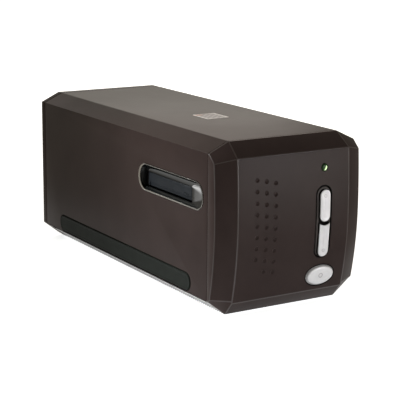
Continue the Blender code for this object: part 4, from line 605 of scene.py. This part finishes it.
def bezel_surface(inset, steps):
    """Closed solid of the bezel's form, moved in by inset, for its outside or its hollow."""
    base_corner, side_low, side_high, top_corner = drawn_in(body_corners(), inset)[:4]
    rear = behind(BEZEL_DEPTH - SEAM) + (0.003 if inset else 0)
    rim = behind(BEZEL_DEPTH - SEAM) - RIM_DEPTH + inset
    panel_x = PANEL_WIDTH / 2 - inset * 0.6
    panel_top = PANEL_TOP - inset * 0.75
    panel_bottom = PANEL_BOTTOM + inset * 0.75
    ridge_low = side_low[1] - BASE_Z
    rows = []
    for step in range(steps + 1):
        ridge_up, panel_up = between((RIDGE_TOP, panel_top), (ridge_low, panel_bottom), step / steps)
        ridge_y = min(rim, behind(RIDGE_SETBACK + bow(ridge_up)) + inset)
        rows.append((ridge_up, ridge_y, panel_up, behind(bow(panel_up)) + inset))
    rows[-1] = (ridge_low, rim, *rows[-1][2:])
    back_ring = [(0, top_corner[1]), top_corner, side_high,
                 *[(side_high[0], over_base(row[0])) for row in rows], base_corner, (0, base_corner[1])]
    rims = [rim] * 3 + [row[1] for row in rows] + [rim] * 2
    bm = bmesh.new()
    for side in (-1, 1):
        back = [bm.verts.new((side * across, rear, up)) for across, up in back_ring]
        front = [bm.verts.new((side * across, y, up)) for (across, up), y in zip(back_ring, rims)]
        edge = [bm.verts.new((side * panel_x, row[3], over_base(row[2]))) for row in rows]
        middle = [bm.verts.new((0, row[3], over_base(row[2]))) for row in rows]
        faces = list(zip(back, back[1:], front[1:], front))
        faces += [(front[0], front[1], edge[0], middle[0]), (*front[1:3], edge[0]), (*front[2:4], edge[0])]
        for quads in zip(zip(front[3:], front[4:], edge[1:], edge), zip(edge, edge[1:], middle[1:], middle)):
            faces += quads
        faces += [(*front[-3:-1], edge[-1]), (*front[-2:], middle[-1], edge[-1]), back]
        for face in faces:
            bm.faces.new(face)
    bmesh.ops.remove_doubles(bm, verts=bm.verts, dist=0.00001)
    bmesh.ops.dissolve_degenerate(bm, edges=bm.edges, dist=0.000001)
    return bm


def panel_prism(name, outline, across, middle, depth):
    """Cutting prism whose floor follows the panel's bow at depth behind it."""
    front = along_y(moved(outline, across, over_base(middle)), CUT_FRONT)
    return shape(name, loft([front, on_panel(outline, across, middle, depth)]))


def front_hole(outline, across, up):
    return prism_y("hole", moved(outline, across, over_base(up)), CUT_FRONT, behind(BEZEL_DEPTH))


def subdivided(outline, longest):
    """Split the outline's long edges, so that a face on it can follow the bow."""
    result = []
    for point, after in zip(outline, outline[1:] + outline[:1]):
        pieces = max(1, ceil(dist(point, after) / longest))
        result += [between(point, after, step / pieces) for step in range(pieces)]
    return result


def button_outline(grow, top):
    if top:
        return stadium(BUTTON_WIDTH + 2 * grow, BUTTON_TOP - BUTTON_SPLIT + 2 * grow, 14)
    half = (LOWER_TOP - BUTTON_BOTTOM) / 2 + grow
    radius = BUTTON_WIDTH / 2 + grow
    socket = BUTTON_WIDTH / 2 + BUTTON_SPLIT_GAP - grow
    points = [(radius * cos(turn), -half + radius + radius * sin(turn))
              for turn in (pi + pi * step / 28 for step in range(29))]
    arc = asin(min(1, radius / socket))
    return points + [(socket * sin(turn), half + socket - socket * cos(turn))
                     for turn in (arc - 2 * arc * step / 14 for step in range(15))]


def button_middle(top):
    return (BUTTON_TOP + BUTTON_SPLIT if top else LOWER_TOP + BUTTON_BOTTOM) / 2


def button_holes(grow):
    return [front_hole(button_outline(grow, top), CONTROL_X, button_middle(top)) for top in (True, False)]


def power_outline(grow=0):
    return ellipse(POWER_WIDTH + 2 * grow, POWER_DEPTH + 2 * grow, 64)


def recess_outline(trim):
    return subdivided(stadium(RECESS_WIDTH - trim, RECESS_TOP - RECESS_BOTTOM - trim, 16), 0.003)


def dimple_bowls():
    bm = bmesh.new()
    for column, rows in enumerate(DIMPLE_ROWS):
        for row in range(rows):
            up = DIMPLE_TOP - column * DIMPLE_STAGGER - row * DIMPLE_PITCH
            across = DIMPLE_X + column * DIMPLE_COLUMN_PITCH
            add_loft(bm, [along_y(moved(circle(radius, 20), across, over_base(up)),
                                  behind(bow(up) + depth)) for depth, radius in DIMPLE_BOWL])
    return bm


def bezel():
    item = piece("front_fascia", bezel_surface(0, 60), "brown_paint", replaces="front_bezel")
    edges = item.modifiers.new("edges", "BEVEL")
    edges.width = EDGE_WIDTH
    edges.segments = 3
    edges.limit_method = "ANGLE"
    edges.angle_limit = radians(EDGE_LIMIT)
    item.data.materials.append(FINISHES["paint_edge"])
    edges.material = 1
    settle(item, 24)
    light = circle(LIGHT_RADIUS + SEAM, 28)
    carve(item, [shape("hollow", bezel_surface(WALL, 16)),
                 panel_prism("recess", recess_outline(0), RECESS_X, RECESS_MIDDLE, RECESS_DEPTH),
                 panel_prism("ring", power_outline(POWER_RING), POWER_X, POWER_UP, RECESS_DEPTH),
                 *button_holes(SEAM), front_hole(power_outline(SEAM), POWER_X, POWER_UP),
                 front_hole(light, CONTROL_X, LIGHT_UP), shape("dimples", dimple_bowls())], 24)


def well_and_bed(name, outline, across, middle, holes):
    """Black wall and bed of a recess as painted shade, with holes in the bed."""
    floor = RECESS_DEPTH

    def rings(layers):
        return [on_panel(drawn_in(outline, inset), across, middle, depth) for inset, depth in layers]
    layers = ((0, 0.0001), (0.0003, 0.0001), (0.0005, floor - 0.0001), (0.0005, floor), (0, floor))
    piece(f"{name}_well", tube(rings(layers)), "shade_black")
    bed = drawn_in(outline, 0.0006)
    layers = ((1, 1, floor), (1, 1, floor - 0.0002), (0.6, 0.96, floor - 0.0002),
              (0.25, 0.925, floor - 0.0002), (0.04, 0.904, floor - 0.0002))
    bed = [on_panel(scaled(bed, *shares), across, middle, depth) for *shares, depth in layers]
    item = piece(f"{name}_bed", loft(bed), "shade_black")
    if name == "scan_button":
        layers = ((0.0012, floor), (0.0012, 0.0004), (0.0014, 0.0001), (0.0027, 0.0001), (0.0027, floor))
        collar = piece("scan_button_collar", tube(rings(layers)), "collar_black")
        carve(collar, button_holes(0.0005))
    carve(item, holes)


def button_wells():
    """Black walls and beds in the two recesses as painted shade, with a sloped rim round the scan buttons.
    """
    well_and_bed("scan_button", recess_outline(0.0001), RECESS_X, RECESS_MIDDLE, button_holes(SEAM))
    well_and_bed("power_button", power_outline(POWER_RING - 0.00005), POWER_X, POWER_UP,
                 [front_hole(power_outline(SEAM), POWER_X, POWER_UP)])


# Buttons

DISH = ((0.0005, 0.00004), (0.0012, 0.0002), (0.0019, 0.00026), (0.0026, 0.00026))
POWER_DISH = ((0.0005, 0.00006), (0.0011, 0.0002), (0.0018, 0.00026), (0.003, 0.00026), (0.0042, 0.00026))
FACE_SHARES = (0.9, 0.8, 0.7, 0.58, 0.46, 0.34, 0.22, 0.1, 0.02)
FACE = DISH[-1][1] - BUTTON_PROUD


def button(name, body, node, outline, middle, across, tail, shoulder, crown, dish, skirt):
    """Dark skirt and a silver cap that follows the panel, with a rounded shoulder and a dished face."""
    half_x = max(x for x, _ in outline)
    half_z = max(up for _, up in outline)
    seam = crown + 0.0001 - BUTTON_PROUD

    def ring(inset, depth, share_x=1, share_z=1):
        """The outline drawn in at its widest by inset, and then scaled towards its middle."""
        share_x *= 1 - inset / half_x
        share_z *= 1 - inset / half_z
        return on_panel(scaled(outline, share_x, share_z), across, middle, depth)
    tail_ring = [(x, behind(tail), up) for x, _, up in ring(0, 0)]
    inner = on_panel(drawn_in(outline, 0.0006), across, middle, seam - 0.0001)
    piece(f"{name}_skirt", loft([tail_ring, ring(0, seam), inner]), skirt, body, slot="silver_paint")
    rings = [ring(0, seam), ring(0, crown - BUTTON_PROUD)]
    rings += [ring(inset * shoulder / crown, run - BUTTON_PROUD) for inset, run in rounded_over(crown, 6)]
    rings += [ring(inset + shoulder, sink - BUTTON_PROUD) for inset, sink in dish]
    rings += [ring(dish[-1][0] + shoulder, FACE, share, 0.9 + 0.1 * share) for share in FACE_SHARES]
    piece(f"{name}_cap", loft(rings), "silver_paint", body, node, angle=40)


def ring_mark(name, body, across, up, radius, width):
    """Low raised ring on a button's face."""
    low, edge, high = FACE + 0.00008, FACE - 0.0001, FACE - 0.00014
    layers = ((radius, low), (radius, edge), (radius - 0.00006, high), (radius - width + 0.00006, high),
              (radius - width, edge), (radius - width, low))
    rings = [on_panel(circle(size, 32), across, up, depth) for size, depth in layers]
    piece(name, tube(rings), "mark_grey", body)


def rib_mark(name, body, low_up, high_up, width=0.0007):
    """Fine raised line along a button's face."""
    ends = [low_up + (high_up - low_up) * step / 12 for step in range(13)]

    def strip(half, depth):
        outline = [(half, up) for up in ends] + [(-half, up) for up in reversed(ends)]
        return on_panel(outline, CONTROL_X, 0, depth)
    piece(name, loft([strip(width / 2, FACE + 0.00008), strip(width / 3, FACE - 0.00008)]),
          "silver_paint", body)


def buttons():
    # The scan buttons' skirts are black: dark plastic sides, darkened further as painted shade round the
    # caps
    for top, name in ((True, "upper"), (False, "lower")):
        button(f"{name}_scan", f"{name}_button", f"{name}_scan_button", button_outline(0, top),
               button_middle(top), CONTROL_X, BUTTON_TAIL, 0.0007, 0.0006, DISH, "shade_black")
    button("power", "power_key", "power_button", power_outline(), POWER_UP, POWER_X, POWER_TAIL,
           0.0024, 0.0009, POWER_DISH, "button_skirt")
    layers = ((-0.0004, 0.0002), (0.0009, 0.0002), (0.0009, 0), (0.0007, -0.0002),
              (0.0001, -0.0009), (-0.0004, -0.0009))
    flare = [on_panel(drawn_in(power_outline(), -grow), POWER_X, POWER_UP, depth) for grow, depth in layers]
    piece("power_flare", tube(flare), "button_skirt", "power_key")
    ring_mark("upper_scan_ring", "upper_button", CONTROL_X, BUTTON_TOP - 0.0043, 0.00115, 0.00034)
    ring_mark("lower_scan_ring", "lower_button", CONTROL_X, BUTTON_BOTTOM + 0.0045, 0.00115, 0.00034)
    rib_mark("upper_scan_rib", "upper_button", BUTTON_SPLIT + 0.0045, BUTTON_TOP - 0.0064)
    rib_mark("lower_scan_rib", "lower_button", BUTTON_BOTTOM + 0.0066, LOWER_TOP - 0.0065)
    ring_mark("power_ring_mark", "power_key", POWER_X, POWER_UP, 0.0018, 0.0006)


# Status light

# Slanted line across the lens between its painted highlight (lower right) and its painted shade (upper left,
# under the rim)
LENS_SHADE_SLOPE = (0.89, 0, -0.45)
LENS_SHADE_X = CONTROL_X + 0.0005
LENS_SHADE_BLUR = 0.0004


def light_surface():
    """Green lens, pale and glowing on its lower-right side as a painted highlight, dark green on its
    upper-left side as painted shade.
    """
    shader, coords = blank("lens_highlight_and_shade", "light_pipe")
    across = add(coords, "VectorMath", {0: coords, 1: LENS_SHADE_SLOPE}, operation="DOT_PRODUCT")
    middle = LENS_SHADE_SLOPE[0] * LENS_SHADE_X + LENS_SHADE_SLOPE[2] * over_base(LIGHT_UP)
    fac = span(across.outputs["Value"], 0, 1, middle - LENS_SHADE_BLUR, middle + LENS_SHADE_BLUR)
    lens_painted_light = ramp(fac, ((0, (0.003, 0.016, 0.002)), (0.45, (0.05, 0.12, 0.03)), (1, (0.5, 0.68, 0.38))))
    feed(shader, {"Base Color": lens_painted_light, "Emission Color": lens_painted_light, "Emission Strength": 0.55,
                  "IOR": 1.2, "Roughness": span(noise(coords, 400), 0.3, 0.45)})


def status_light():
    front = bow(LIGHT_UP)

    def rings(layers):
        return [along_y(moved(circle(radius, 40), CONTROL_X, over_base(LIGHT_UP)), behind(depth))
                for radius, depth in layers]
    lens = rings(((LIGHT_RADIUS, LIGHT_TAIL), (LIGHT_RADIUS, front + 0.0002), (0.00208, front + 0.0001),
                  (0.00208, front), (0.0019, front - 0.00014), (0.0015, front - 0.00024),
                  (0.0009, front - 0.0003), (0.0003, front - 0.00034)))
    light_surface()
    piece("status_lens", loft(lens), "lens_highlight_and_shade", replaces="status_light_pipe", angle=60)
    rim = rings(((0.0029, front + 0.0002), (0.0029, front - 0.0001), (0.0027, front - 0.00025),
                 (0.0023, front - 0.00025), (0.00212, front + 0.0001), (0.00212, front + 0.0002)))
    piece("status_ring", tube(rim), "light_ring", angle=60)


# Film slot trims and dust doors

SCOOP_ROWS = ((0.02, 0.1, 0.12), (0.05, 0.2, 0.26), (0.1, 0.33, 0.4), (0.17, 0.46, 0.47),
              (0.26, 0.59, 0.53), (0.36, 0.7, 0.6), (0.48, 0.8, 0.68), (0.6, 0.88, 0.76),
              (0.74, 0.94, 0.85), (0.88, 0.985, 0.94), (1, 1, 1))
LIP_ROWS = ((0, 0), (0, -0.0002), (0.12, -0.00032), (0.35, -0.0004), (0.7, -0.0004),
            (0.92, -0.00034), (1, -0.0003), (1, -0.0001))
DOOR_GAP_FRONT = 0.0006
DOOR_GAP_REAR = 0.0029
DOOR_LENGTH = MOUTH_LENGTH - DOOR_GAP_FRONT - DOOR_GAP_REAR
DOOR_BACK = MOUTH_BACK + (DOOR_GAP_FRONT - DOOR_GAP_REAR) / 2
DOOR_LOW_Y = behind(DOOR_BACK) - DOOR_LENGTH / 2
DOOR_HIGH_Y = DOOR_LOW_Y + DOOR_LENGTH
DOOR_FACE = SCOOP_DEPTH + MOUTH_EDGE + SEAM
DOOR_THICKNESS = 0.0013
HINGE_RADIUS = 0.0012
HINGE_BORE = 0.0009
HINGE_DEPTH = DOOR_FACE + HINGE_RADIUS + 0.0002
HINGE_Z = over_base(MOUTH_UP + MOUTH_HEIGHT / 2 + 0.002)


def share_of(value, start, run):
    return max(0, min(1, (value - start) / run))


def slot_outline(grow=0, steps=14):
    return stadium(SLOT_LENGTH + 2 * grow, SLOT_HEIGHT + 2 * grow, steps)


def slot_trim(side, name):
    """Glossy scoop from the flush edge down to the film mouth, steep where the way is long."""
    outside = slot_outline()
    mouth = moved(rounded_box(MOUTH_LENGTH + MOUTH_SPARE, MOUTH_HEIGHT, 0.0008, 14),
                  MOUTH_SHIFT_BACK + MOUTH_SPARE / 2, -MOUTH_SHIFT_DOWN)
    flange = slot_outline(TRIM_FLANGE)
    lip = drawn_in(outside, 0.0007)
    back = SCOOP_DEPTH + MOUTH_EDGE

    def rings(layers):
        return [side_view(outline, side, depth, SLOT_MIDDLE) for outline, depth in layers]
    scoop = rings([(outside, WALL + SEAM), (outside, 0)])
    scoop += rings([(drawn_in(outside, inset), run - TRIM_PROUD)
                    for inset, run in rounded_over(TRIM_PROUD, 3)] + [(lip, -TRIM_PROUD)])
    for share, drop, plain in SCOOP_ROWS:
        ring = []
        for start, end in zip(lip, mouth):
            longer = share_of(dist(start, end), 0.007, 0.008)
            sink = (drop * (1 - longer) + plain * longer) * (SCOOP_DEPTH + TRIM_PROUD) - TRIM_PROUD
            ring += side_view([between(start, end, share)], side, sink, SLOT_MIDDLE)
        scoop.append(ring)
    scoop += rings([(mouth, back), (flange, back), (flange, WALL + SEAM)])
    piece(f"{name}_slot_scoop", tube(scoop), "black_gloss", replaces=f"{name}_slot_trim", angle=40)


def slot_highlight_lip(side, name):
    """Raised rounded edge round the slot in lighter satin metal, a painted highlight where the black trim's
    reflection falls, with real reflections on it too: broad at the rear end, narrow below and very thin
    above.
    """
    outside = slot_outline()
    straight = (SLOT_LENGTH - SLOT_HEIGHT) / 2
    points = []
    for (along, up), outer, broad in zip(outside, drawn_in(outside, 0.0001), drawn_in(outside, 0.0025)):
        rear = share_of(along, straight, SLOT_HEIGHT / 2) ** 0.7
        below = share_of(-up, 0, SLOT_HEIGHT / 2)
        front = share_of(-along, straight, SLOT_HEIGHT / 2)
        wide = 0.08 + 0.92 * rear + 0.28 * below * (1 - rear) * (1 - front)
        points.append((outer, between(outer, broad, wide)))
    rings = [side_view([between(*ends, share) for ends in points], side, depth, SLOT_MIDDLE)
             for share, depth in LIP_ROWS]
    piece(f"{name}_slot_highlight_lip", tube(rings), "slot_highlight_lip", angle=60)


def box_rings(low_y, high_y, low_z, high_z, side, layers, corner=0.0006):
    """Loft rings of a plate on a side: layers are (inset, depth) pairs."""
    middle = ((low_y + high_y) / 2, (low_z + high_z) / 2)
    length, height = high_y - low_y, high_z - low_z
    return [side_view(rounded_box(length - 2 * inset, height - 2 * inset, max(corner - inset, 0.0001), 4),
                      side, depth, middle) for inset, depth in layers]


def door_hinge(side):
    """Two barrels on the pin, each joined to the flap by a web."""
    bm = bmesh.new()
    length = (DOOR_LENGTH - 0.0104) / 2
    for start in (DOOR_LOW_Y, DOOR_HIGH_Y - length):
        end = start + length
        layers = ((HINGE_RADIUS, start + 0.0001), (HINGE_RADIUS, end - 0.0001),
                  (HINGE_RADIUS - 0.0001, end), (HINGE_BORE, end), (HINGE_BORE, start),
                  (HINGE_RADIUS - 0.0001, start))
        add_loft(bm, [along_y(moved(circle(radius, 24), side * (SIDE_X - HINGE_DEPTH), HINGE_Z), y)
                      for radius, y in layers], endless=True)
    for start in (DOOR_LOW_Y + 0.001, DOOR_HIGH_Y - length + 0.001):
        add_loft(bm, box_rings(start, start + length - 0.002, HINGE_Z - 0.002, HINGE_Z - 0.0009, side,
                               ((0, DOOR_FACE + 0.0011), (0, DOOR_FACE + 0.0003)), 0.0002))
    return bm


def dust_door(side, name):
    """Flap with a raised field, a finger nick in its lower rear corner and two hinge barrels."""
    low_z = over_base(MOUTH_UP) - MOUTH_HEIGHT / 2 + 0.001
    high_z = HINGE_Z - 0.0013
    rear_y = DOOR_HIGH_Y + FLAP_SPARE
    layers = ((0, DOOR_FACE + DOOR_THICKNESS), (0, DOOR_FACE + 0.0002), (0.0002, DOOR_FACE),
              (0.0022, DOOR_FACE), (0.0024, DOOR_FACE - 0.0002), (0.0028, DOOR_FACE - 0.00025))
    item = piece(f"{name}_dust_flap", loft(box_rings(DOOR_LOW_Y, rear_y, low_z, high_z, side, layers)),
                 "door_plastic", f"{name}_door", f"{name}_dust_door", angle=40)
    nick = [(-0.0016, -0.001), (0.001, -0.001), (0, 0.0042)]
    tools = [side_prism("nick", nick, side, (behind(0.1008), low_z), DOOR_FACE - 0.001, DOOR_FACE + 0.0007)]
    wide, narrow = ellipse(0.003, 0.0036, 24), ellipse(0.0023, 0.0029, 24)
    layers = ((wide, -0.001), (wide, 0.00012), (narrow, 0.00012), (narrow, -0.001))
    for spot in ((behind(0.0518), over_base(0.0775)), (behind(0.0482), over_base(0.0771))):
        rings = [side_view(outline, side, DOOR_FACE + depth, spot) for outline, depth in layers]
        tools.append(shape("spot", tube(rings)))
    carve(item, tools, 40)
    # Black plate behind the flap's rear end: painted shade in the gap there
    gap_shade_high = behind(MOUTH_BACK) + MOUTH_LENGTH / 2 + MOUTH_SPARE + 0.0012
    layers = ((0, DOOR_FACE + 0.0016), (0, DOOR_FACE + 0.0005), (0.0002, DOOR_FACE + 0.0003))
    gap_shade = box_rings(rear_y + 0.0003, gap_shade_high, low_z - 0.0018, high_z + 0.0001, side, layers)
    piece(f"{name}_slot_gap_shade", loft(gap_shade), "shade_black")
    piece(f"{name}_dust_hinge", door_hinge(side), "door_plastic", f"{name}_door", angle=40)


def trim_ears(side, name):
    """Two lugs behind the trim that hold the hinge pin; the rear one has a sleeve clear of the flap."""
    sleeve = 0.00115

    def plate(reach, below, y):
        """Round plate, cut flat behind the trim and at below under the pin; below None is a circle."""
        points = []
        for step in range(40):
            turn = 2 * pi * (step + 0.5) / 40
            inward, up = cos(turn), sin(turn)
            size = reach
            if below is not None and inward < 0:
                size = min(0.0017 / -inward, reach / abs(up))
            if below is not None and up < 0:
                size = min(size, below / -up)
            points.append((side * (SIDE_X - HINGE_DEPTH - size * inward), y, HINGE_Z + size * up))
        return points
    low = DOOR_LOW_Y - 0.0033
    high = DOOR_HIGH_Y + 0.0003
    face = high + FLAP_SPARE
    bm = bmesh.new()
    for layers in (((HINGE_BORE, None, low), (0.0018, 0.0018, low), (0.002, 0.002, low + 0.0002),
                    (0.002, 0.002, low + 0.0028), (0.0018, 0.0018, low + 0.003),
                    (HINGE_BORE, None, low + 0.003)),
                   ((HINGE_BORE, None, high), (sleeve, None, high), (sleeve, None, face),
                    (0.0018, sleeve, face), (0.002, sleeve, face + 0.0001),
                    (0.002, sleeve, high + 0.0029), (0.0018, 0.00105, high + 0.003),
                    (HINGE_BORE, None, high + 0.003))):
        add_loft(bm, [plate(*layer) for layer in layers], endless=True)
    piece(f"{name}_trim_ears", bm, "black_plastic", slot="black_gloss", angle=40)


# Rear sockets

def usb_mouth(grow):
    """Square socket mouth with two cut corners at the top."""
    half_x, half_z = 0.00425 + grow, 0.0039 + grow
    points = []
    for across, up, cut in ((1, -1, 0.0003), (1, 1, 0.0017), (-1, 1, 0.0017), (-1, -1, 0.0003)):
        for step in range(7):
            share = step / 6 if across * up < 0 else 1 - step / 6
            points.append((across * (half_x - cut * (1 - share)), up * (half_z - cut * share)))
    return points


def rear_rings(across, height, layers):
    """Rings of a socket: layers are (outline, distance from the rear face) pairs."""
    return [along_y(moved(outline, across, SOCKET_LOW + height / 2), REAR_Y - back)
            for outline, back in layers]


def socket_body(box, inset, near, mouth):
    """A socket's layers: its block, the block's rounded end and then its mouth."""
    return [(box, REAR_Y - SOCKET_FRONT), (box, near), (drawn_in(box, inset), 0.0001)] + mouth


def sockets():
    box = rounded_box(USB_WIDTH, USB_HEIGHT, 0.0004, 6)
    mouth = ((0.0005, 0.0001), (0.0002, 0.0003), (0, 0.0008), (0, 0.011))
    shell = socket_body(box, 0.0002, 0.0003, [(usb_mouth(grow), back) for grow, back in mouth])
    piece("usb_shell", loft(rear_rings(USB_X, USB_HEIGHT, shell)), "steel", replaces="usb_socket", angle=35)
    tongue = rounded_box(0.0056, 0.0032, 0.0003, 4)
    layers = ((tongue, 0.0111), (tongue, 0.0057), (drawn_in(tongue, 0.0003), 0.0054))
    piece("usb_tongue", loft(rear_rings(USB_X, USB_HEIGHT, layers)), "black_plastic")
    bm = bmesh.new()
    for across in (-0.00125, 0.00125):
        for up in (-0.0016, 0.0016):
            strip = moved(rounded_box(0.001, 0.00016, 0.00005, 2), across, up)
            add_loft(bm, rear_rings(USB_X, USB_HEIGHT, ((strip, 0.0109), (strip, 0.0062))))
    piece("usb_contacts", bm, "contact_gold")
    box = rounded_box(JACK_SIZE, JACK_SIZE, 0.0006, 9)
    mouth = ((0.0039, 0.0001), (0.0036, 0.0004), (0.0033, 0.0009), (0.0033, 0.011))
    body = socket_body(box, 0.0003, 0.0004,
                       [(stadium(2 * radius, 2 * radius, 9), back) for radius, back in mouth])
    piece("jack_body", loft(rear_rings(JACK_X, JACK_SIZE, body)), "black_plastic",
          replaces="power_jack", angle=35)
    liner = ((0.00325, 0.0016), (0.00325, 0.0106), (0.003, 0.0106), (0.003, 0.0014), (0.0031, 0.0012))
    pin = ((0.001, 0.0111), (0.001, 0.0061), (0.00085, 0.0057), (0.0005, 0.0055), (0.0001, 0.00545))
    liner = rear_rings(JACK_X, JACK_SIZE, [(circle(radius, 40), back) for radius, back in liner])
    piece("jack_liner", tube(liner), "steel", angle=40)
    pin = rear_rings(JACK_X, JACK_SIZE, [(circle(radius, 20), back) for radius, back in pin])
    piece("jack_pin", loft(pin), "steel", angle=50)


# Foil patch on the top

FOIL_WIDTH = 0.0193
FOIL_LENGTH = 0.0219
FOIL_X = -0.0004
FOIL_Y = behind(0.1076)
FOIL_LIGHT = (0.26, 0.25, 0.25, 1)
FOIL_DARK = (0.17, 0.165, 0.165, 1)


def foil_surface():
    """Muted foil with a fine check and a warm corner."""
    shader, coords = blank("foil_patch", "")
    inputs = {"Vector": coords, "Scale": 420, "Color1": FOIL_LIGHT, "Color2": FOIL_DARK}
    checks = add(coords, "TexChecker", inputs)
    warm = (FOIL_X - FOIL_WIDTH * 0.35, FOIL_Y + FOIL_LENGTH * 0.45, TOP_Z)
    corner = add(coords, "VectorMath", {0: coords, 1: warm}, operation="DISTANCE")
    fade = span(corner.outputs["Value"], 0.75, 0, 0.002, 0.006)
    blend = add(fade, "Mix", {"Factor": fade}, data_type="RGBA")
    first, second = [index for index, socket in enumerate(blend.inputs) if socket.type == "RGBA"]
    feed(blend, {first: checks.outputs["Color"], second: (0.3, 0.13, 0.09, 1)})
    colour = [socket for socket in blend.outputs if socket.type == "RGBA"][0]
    feed(shader, {"Base Color": colour, "Metallic": 0.25, "IOR": 1.25,
                  "Roughness": span(noise(coords, 300), 0.42, 0.6)})
    bumped(shader, [(noise(coords, 500), 0.00002, 0.3)])


def foil():
    outline = moved(rounded_box(FOIL_WIDTH, FOIL_LENGTH, 0.0012, 5), FOIL_X, FOIL_Y)

    def rings(layers):
        return [[(x, y, TOP_Z + up) for x, y in drawn_in(outline, inset)] for inset, up in layers]
    foil_surface()
    patch = ((0, -SEAM / 2), (0, 0.00006), (0.00005, 0.00009))
    piece("foil_patch", loft(rings(patch)), "foil_patch")
    edge = ((0.0003, 0.00008), (0.0003, 0.00018), (0.0004, 0.00022), (0.0013, 0.00022),
            (0.0014, 0.00018), (0.0014, 0.00008))
    piece("foil_edge", tube(rings(edge)), "foil_edge")


cover()
pads()
tray_sides()
rear_cap()
bezel()
button_wells()
buttons()
status_light()
for side, name in SIDES:
    slot_trim(side, name)
    slot_highlight_lip(side, name)
    trim_ears(side, name)
    dust_door(side, name)
sockets()
foil()


# Stage, light and camera

LIT_APEX = (-0.50546, -0.83744)
LIT_MIDDLE = 31.5
LIT_EDGE = (9.6, 12.5)
LIT_STRENGTH = 0.8
LIT_TINT = (0.97, 0.99, 1, 1)
WORLD_TINT = (0.365, 0.335, 0.27, 1)
FLOOR_SIZE = 6
MIDDLE = (0, 0, 0.06)
EYE = Vector((-0.50546173, -0.83744022, 0.27489404))
TURNS = (31.54907, 12.837877, 0.516318)
SENSOR = 36
FOCAL = 1312.788 / 400 * SENSOR


def stage():
    """Pale paper floor, lit from below in the part of it that the photograph takes in."""
    bm = bmesh.new()
    bmesh.ops.create_grid(bm, x_segments=8, y_segments=8, size=FLOOR_SIZE)
    floor = shape("floor", bm)
    shader = surface("floor_white", (0.9, 0.9, 0.9), (0.92, 0.92, 0.92), (0.6, 0.75), 3,
                     Specular_IOR_Level=0.2, Emission_Color=LIT_TINT)
    coords = add(shader, "TexCoord", {}).outputs["Object"]
    split = add(shader, "SeparateXYZ", {"Vector": coords})

    def worked(operation, first, second=0):
        return add(shader, "Math", {0: first, 1: second}, operation=operation).outputs["Value"]
    across = worked("SUBTRACT", split.outputs["X"], LIT_APEX[0])
    along = worked("SUBTRACT", split.outputs["Y"], LIT_APEX[1])
    off = worked("ABSOLUTE", worked("SUBTRACT", worked("ARCTAN2", across, along), radians(LIT_MIDDLE)))
    start, end = (radians(turn) for turn in LIT_EDGE)
    feed(shader, {"Emission Strength": span(off, LIT_STRENGTH, 0, start, end, "SMOOTHSTEP")})
    floor.data.materials.append(FINISHES["floor_white"])


def area(name, place, target, size, power, tint=(1, 1, 1), spread=180):
    lamp = bpy.data.lights.new(name, "AREA")
    lamp.shape = "RECTANGLE"
    lamp.size, lamp.size_y = size
    lamp.energy = power
    lamp.color = tint
    lamp.spread = radians(spread)
    item = placed(name, lamp)
    item.location = place
    item.rotation_euler = (Vector(target) - Vector(place)).to_track_quat("-Z", "Y").to_euler()


def around(turn, rise, distance=1.5):
    """Place of a softbox: turn from +Y towards +X and rise above the horizon, in degrees."""
    turn, rise = radians(turn), radians(rise)
    return (distance * sin(turn) * cos(rise), distance * cos(turn) * cos(rise),
            MIDDLE[2] + distance * sin(rise))


stage()
sky = bpy.context.scene.world = bpy.data.worlds.new("studio")
sky.use_nodes = True
feed(sky.node_tree.nodes["Background"], {"Color": WORLD_TINT, "Strength": 1})
area("back_soft", around(0, 20), MIDDLE, (0.6, 0.45), 0.65, (1, 0.85, 0.85))
area("back_right_soft", around(30, 20), MIDDLE, (0.6, 0.45), 1.97, (1, 0.94, 0.87))
area("back_high_soft", around(0, 40), MIDDLE, (0.7, 0.7), 1.08, (1, 1, 0.86))
area("back_right_high_soft", around(45, 40), MIDDLE, (0.7, 0.7), 2, (1, 0.78, 0.7))
area("front_right_soft", (0.35, -0.75, 0.12), (0, -0.13, 0.09), (0.15, 0.15), 1.05, (0.7, 0.75, 1))
area("left_spot", (-0.35, 0.15, 0.35), (-0.06, -0.09, 0.095), (0.12, 0.12), 0.24, spread=35)
area("slot_low", (-0.124, 0.119, 0.0195), (-0.0577, -0.105, 0.0872), (0.026, 0.033), 0.00006, spread=9)
area("left_edge", (-0.6, -0.16, 0.05), (-0.06, -0.12, 0.08), (0.3, 0.09), 0.55)
area("front_low_near", (0.34, -0.66, 0.06), (0.02, -0.13, 0.1), (0.3, 0.1), 1.7, (1, 0.95, 0.8))
area("front_low_far", (0.5, -0.95, 0.06), (0.02, -0.13, 0.1), (0.5, 0.1), 1.55, (0.93, 0.9, 1))
area("front_high", (-0.45, -0.95, 0.55), (0, -0.13, 0.08), (0.3, 0.3), 0.3)
yaw, pitch, roll = (radians(turn) for turn in TURNS)
ahead = Vector((sin(yaw) * cos(pitch), cos(yaw) * cos(pitch), -sin(pitch)))
level = Vector((cos(yaw), -sin(yaw), 0))
over = level.cross(ahead)
right = cos(roll) * level + sin(roll) * over
up = -sin(roll) * level + cos(roll) * over
lens = bpy.data.cameras.new("photo_camera")
lens.sensor_width = SENSOR
lens.lens = FOCAL
lens.clip_start = 0.01
item = bpy.context.scene.camera = placed("photo_camera", lens)
item.matrix_world = Matrix((*zip(right, up, -ahead, EYE), (0, 0, 0, 1)))
bpy.context.scene.view_settings.view_transform = "Standard"


def plain(box):
    return [[float(value) for value in corner] for corner in box]
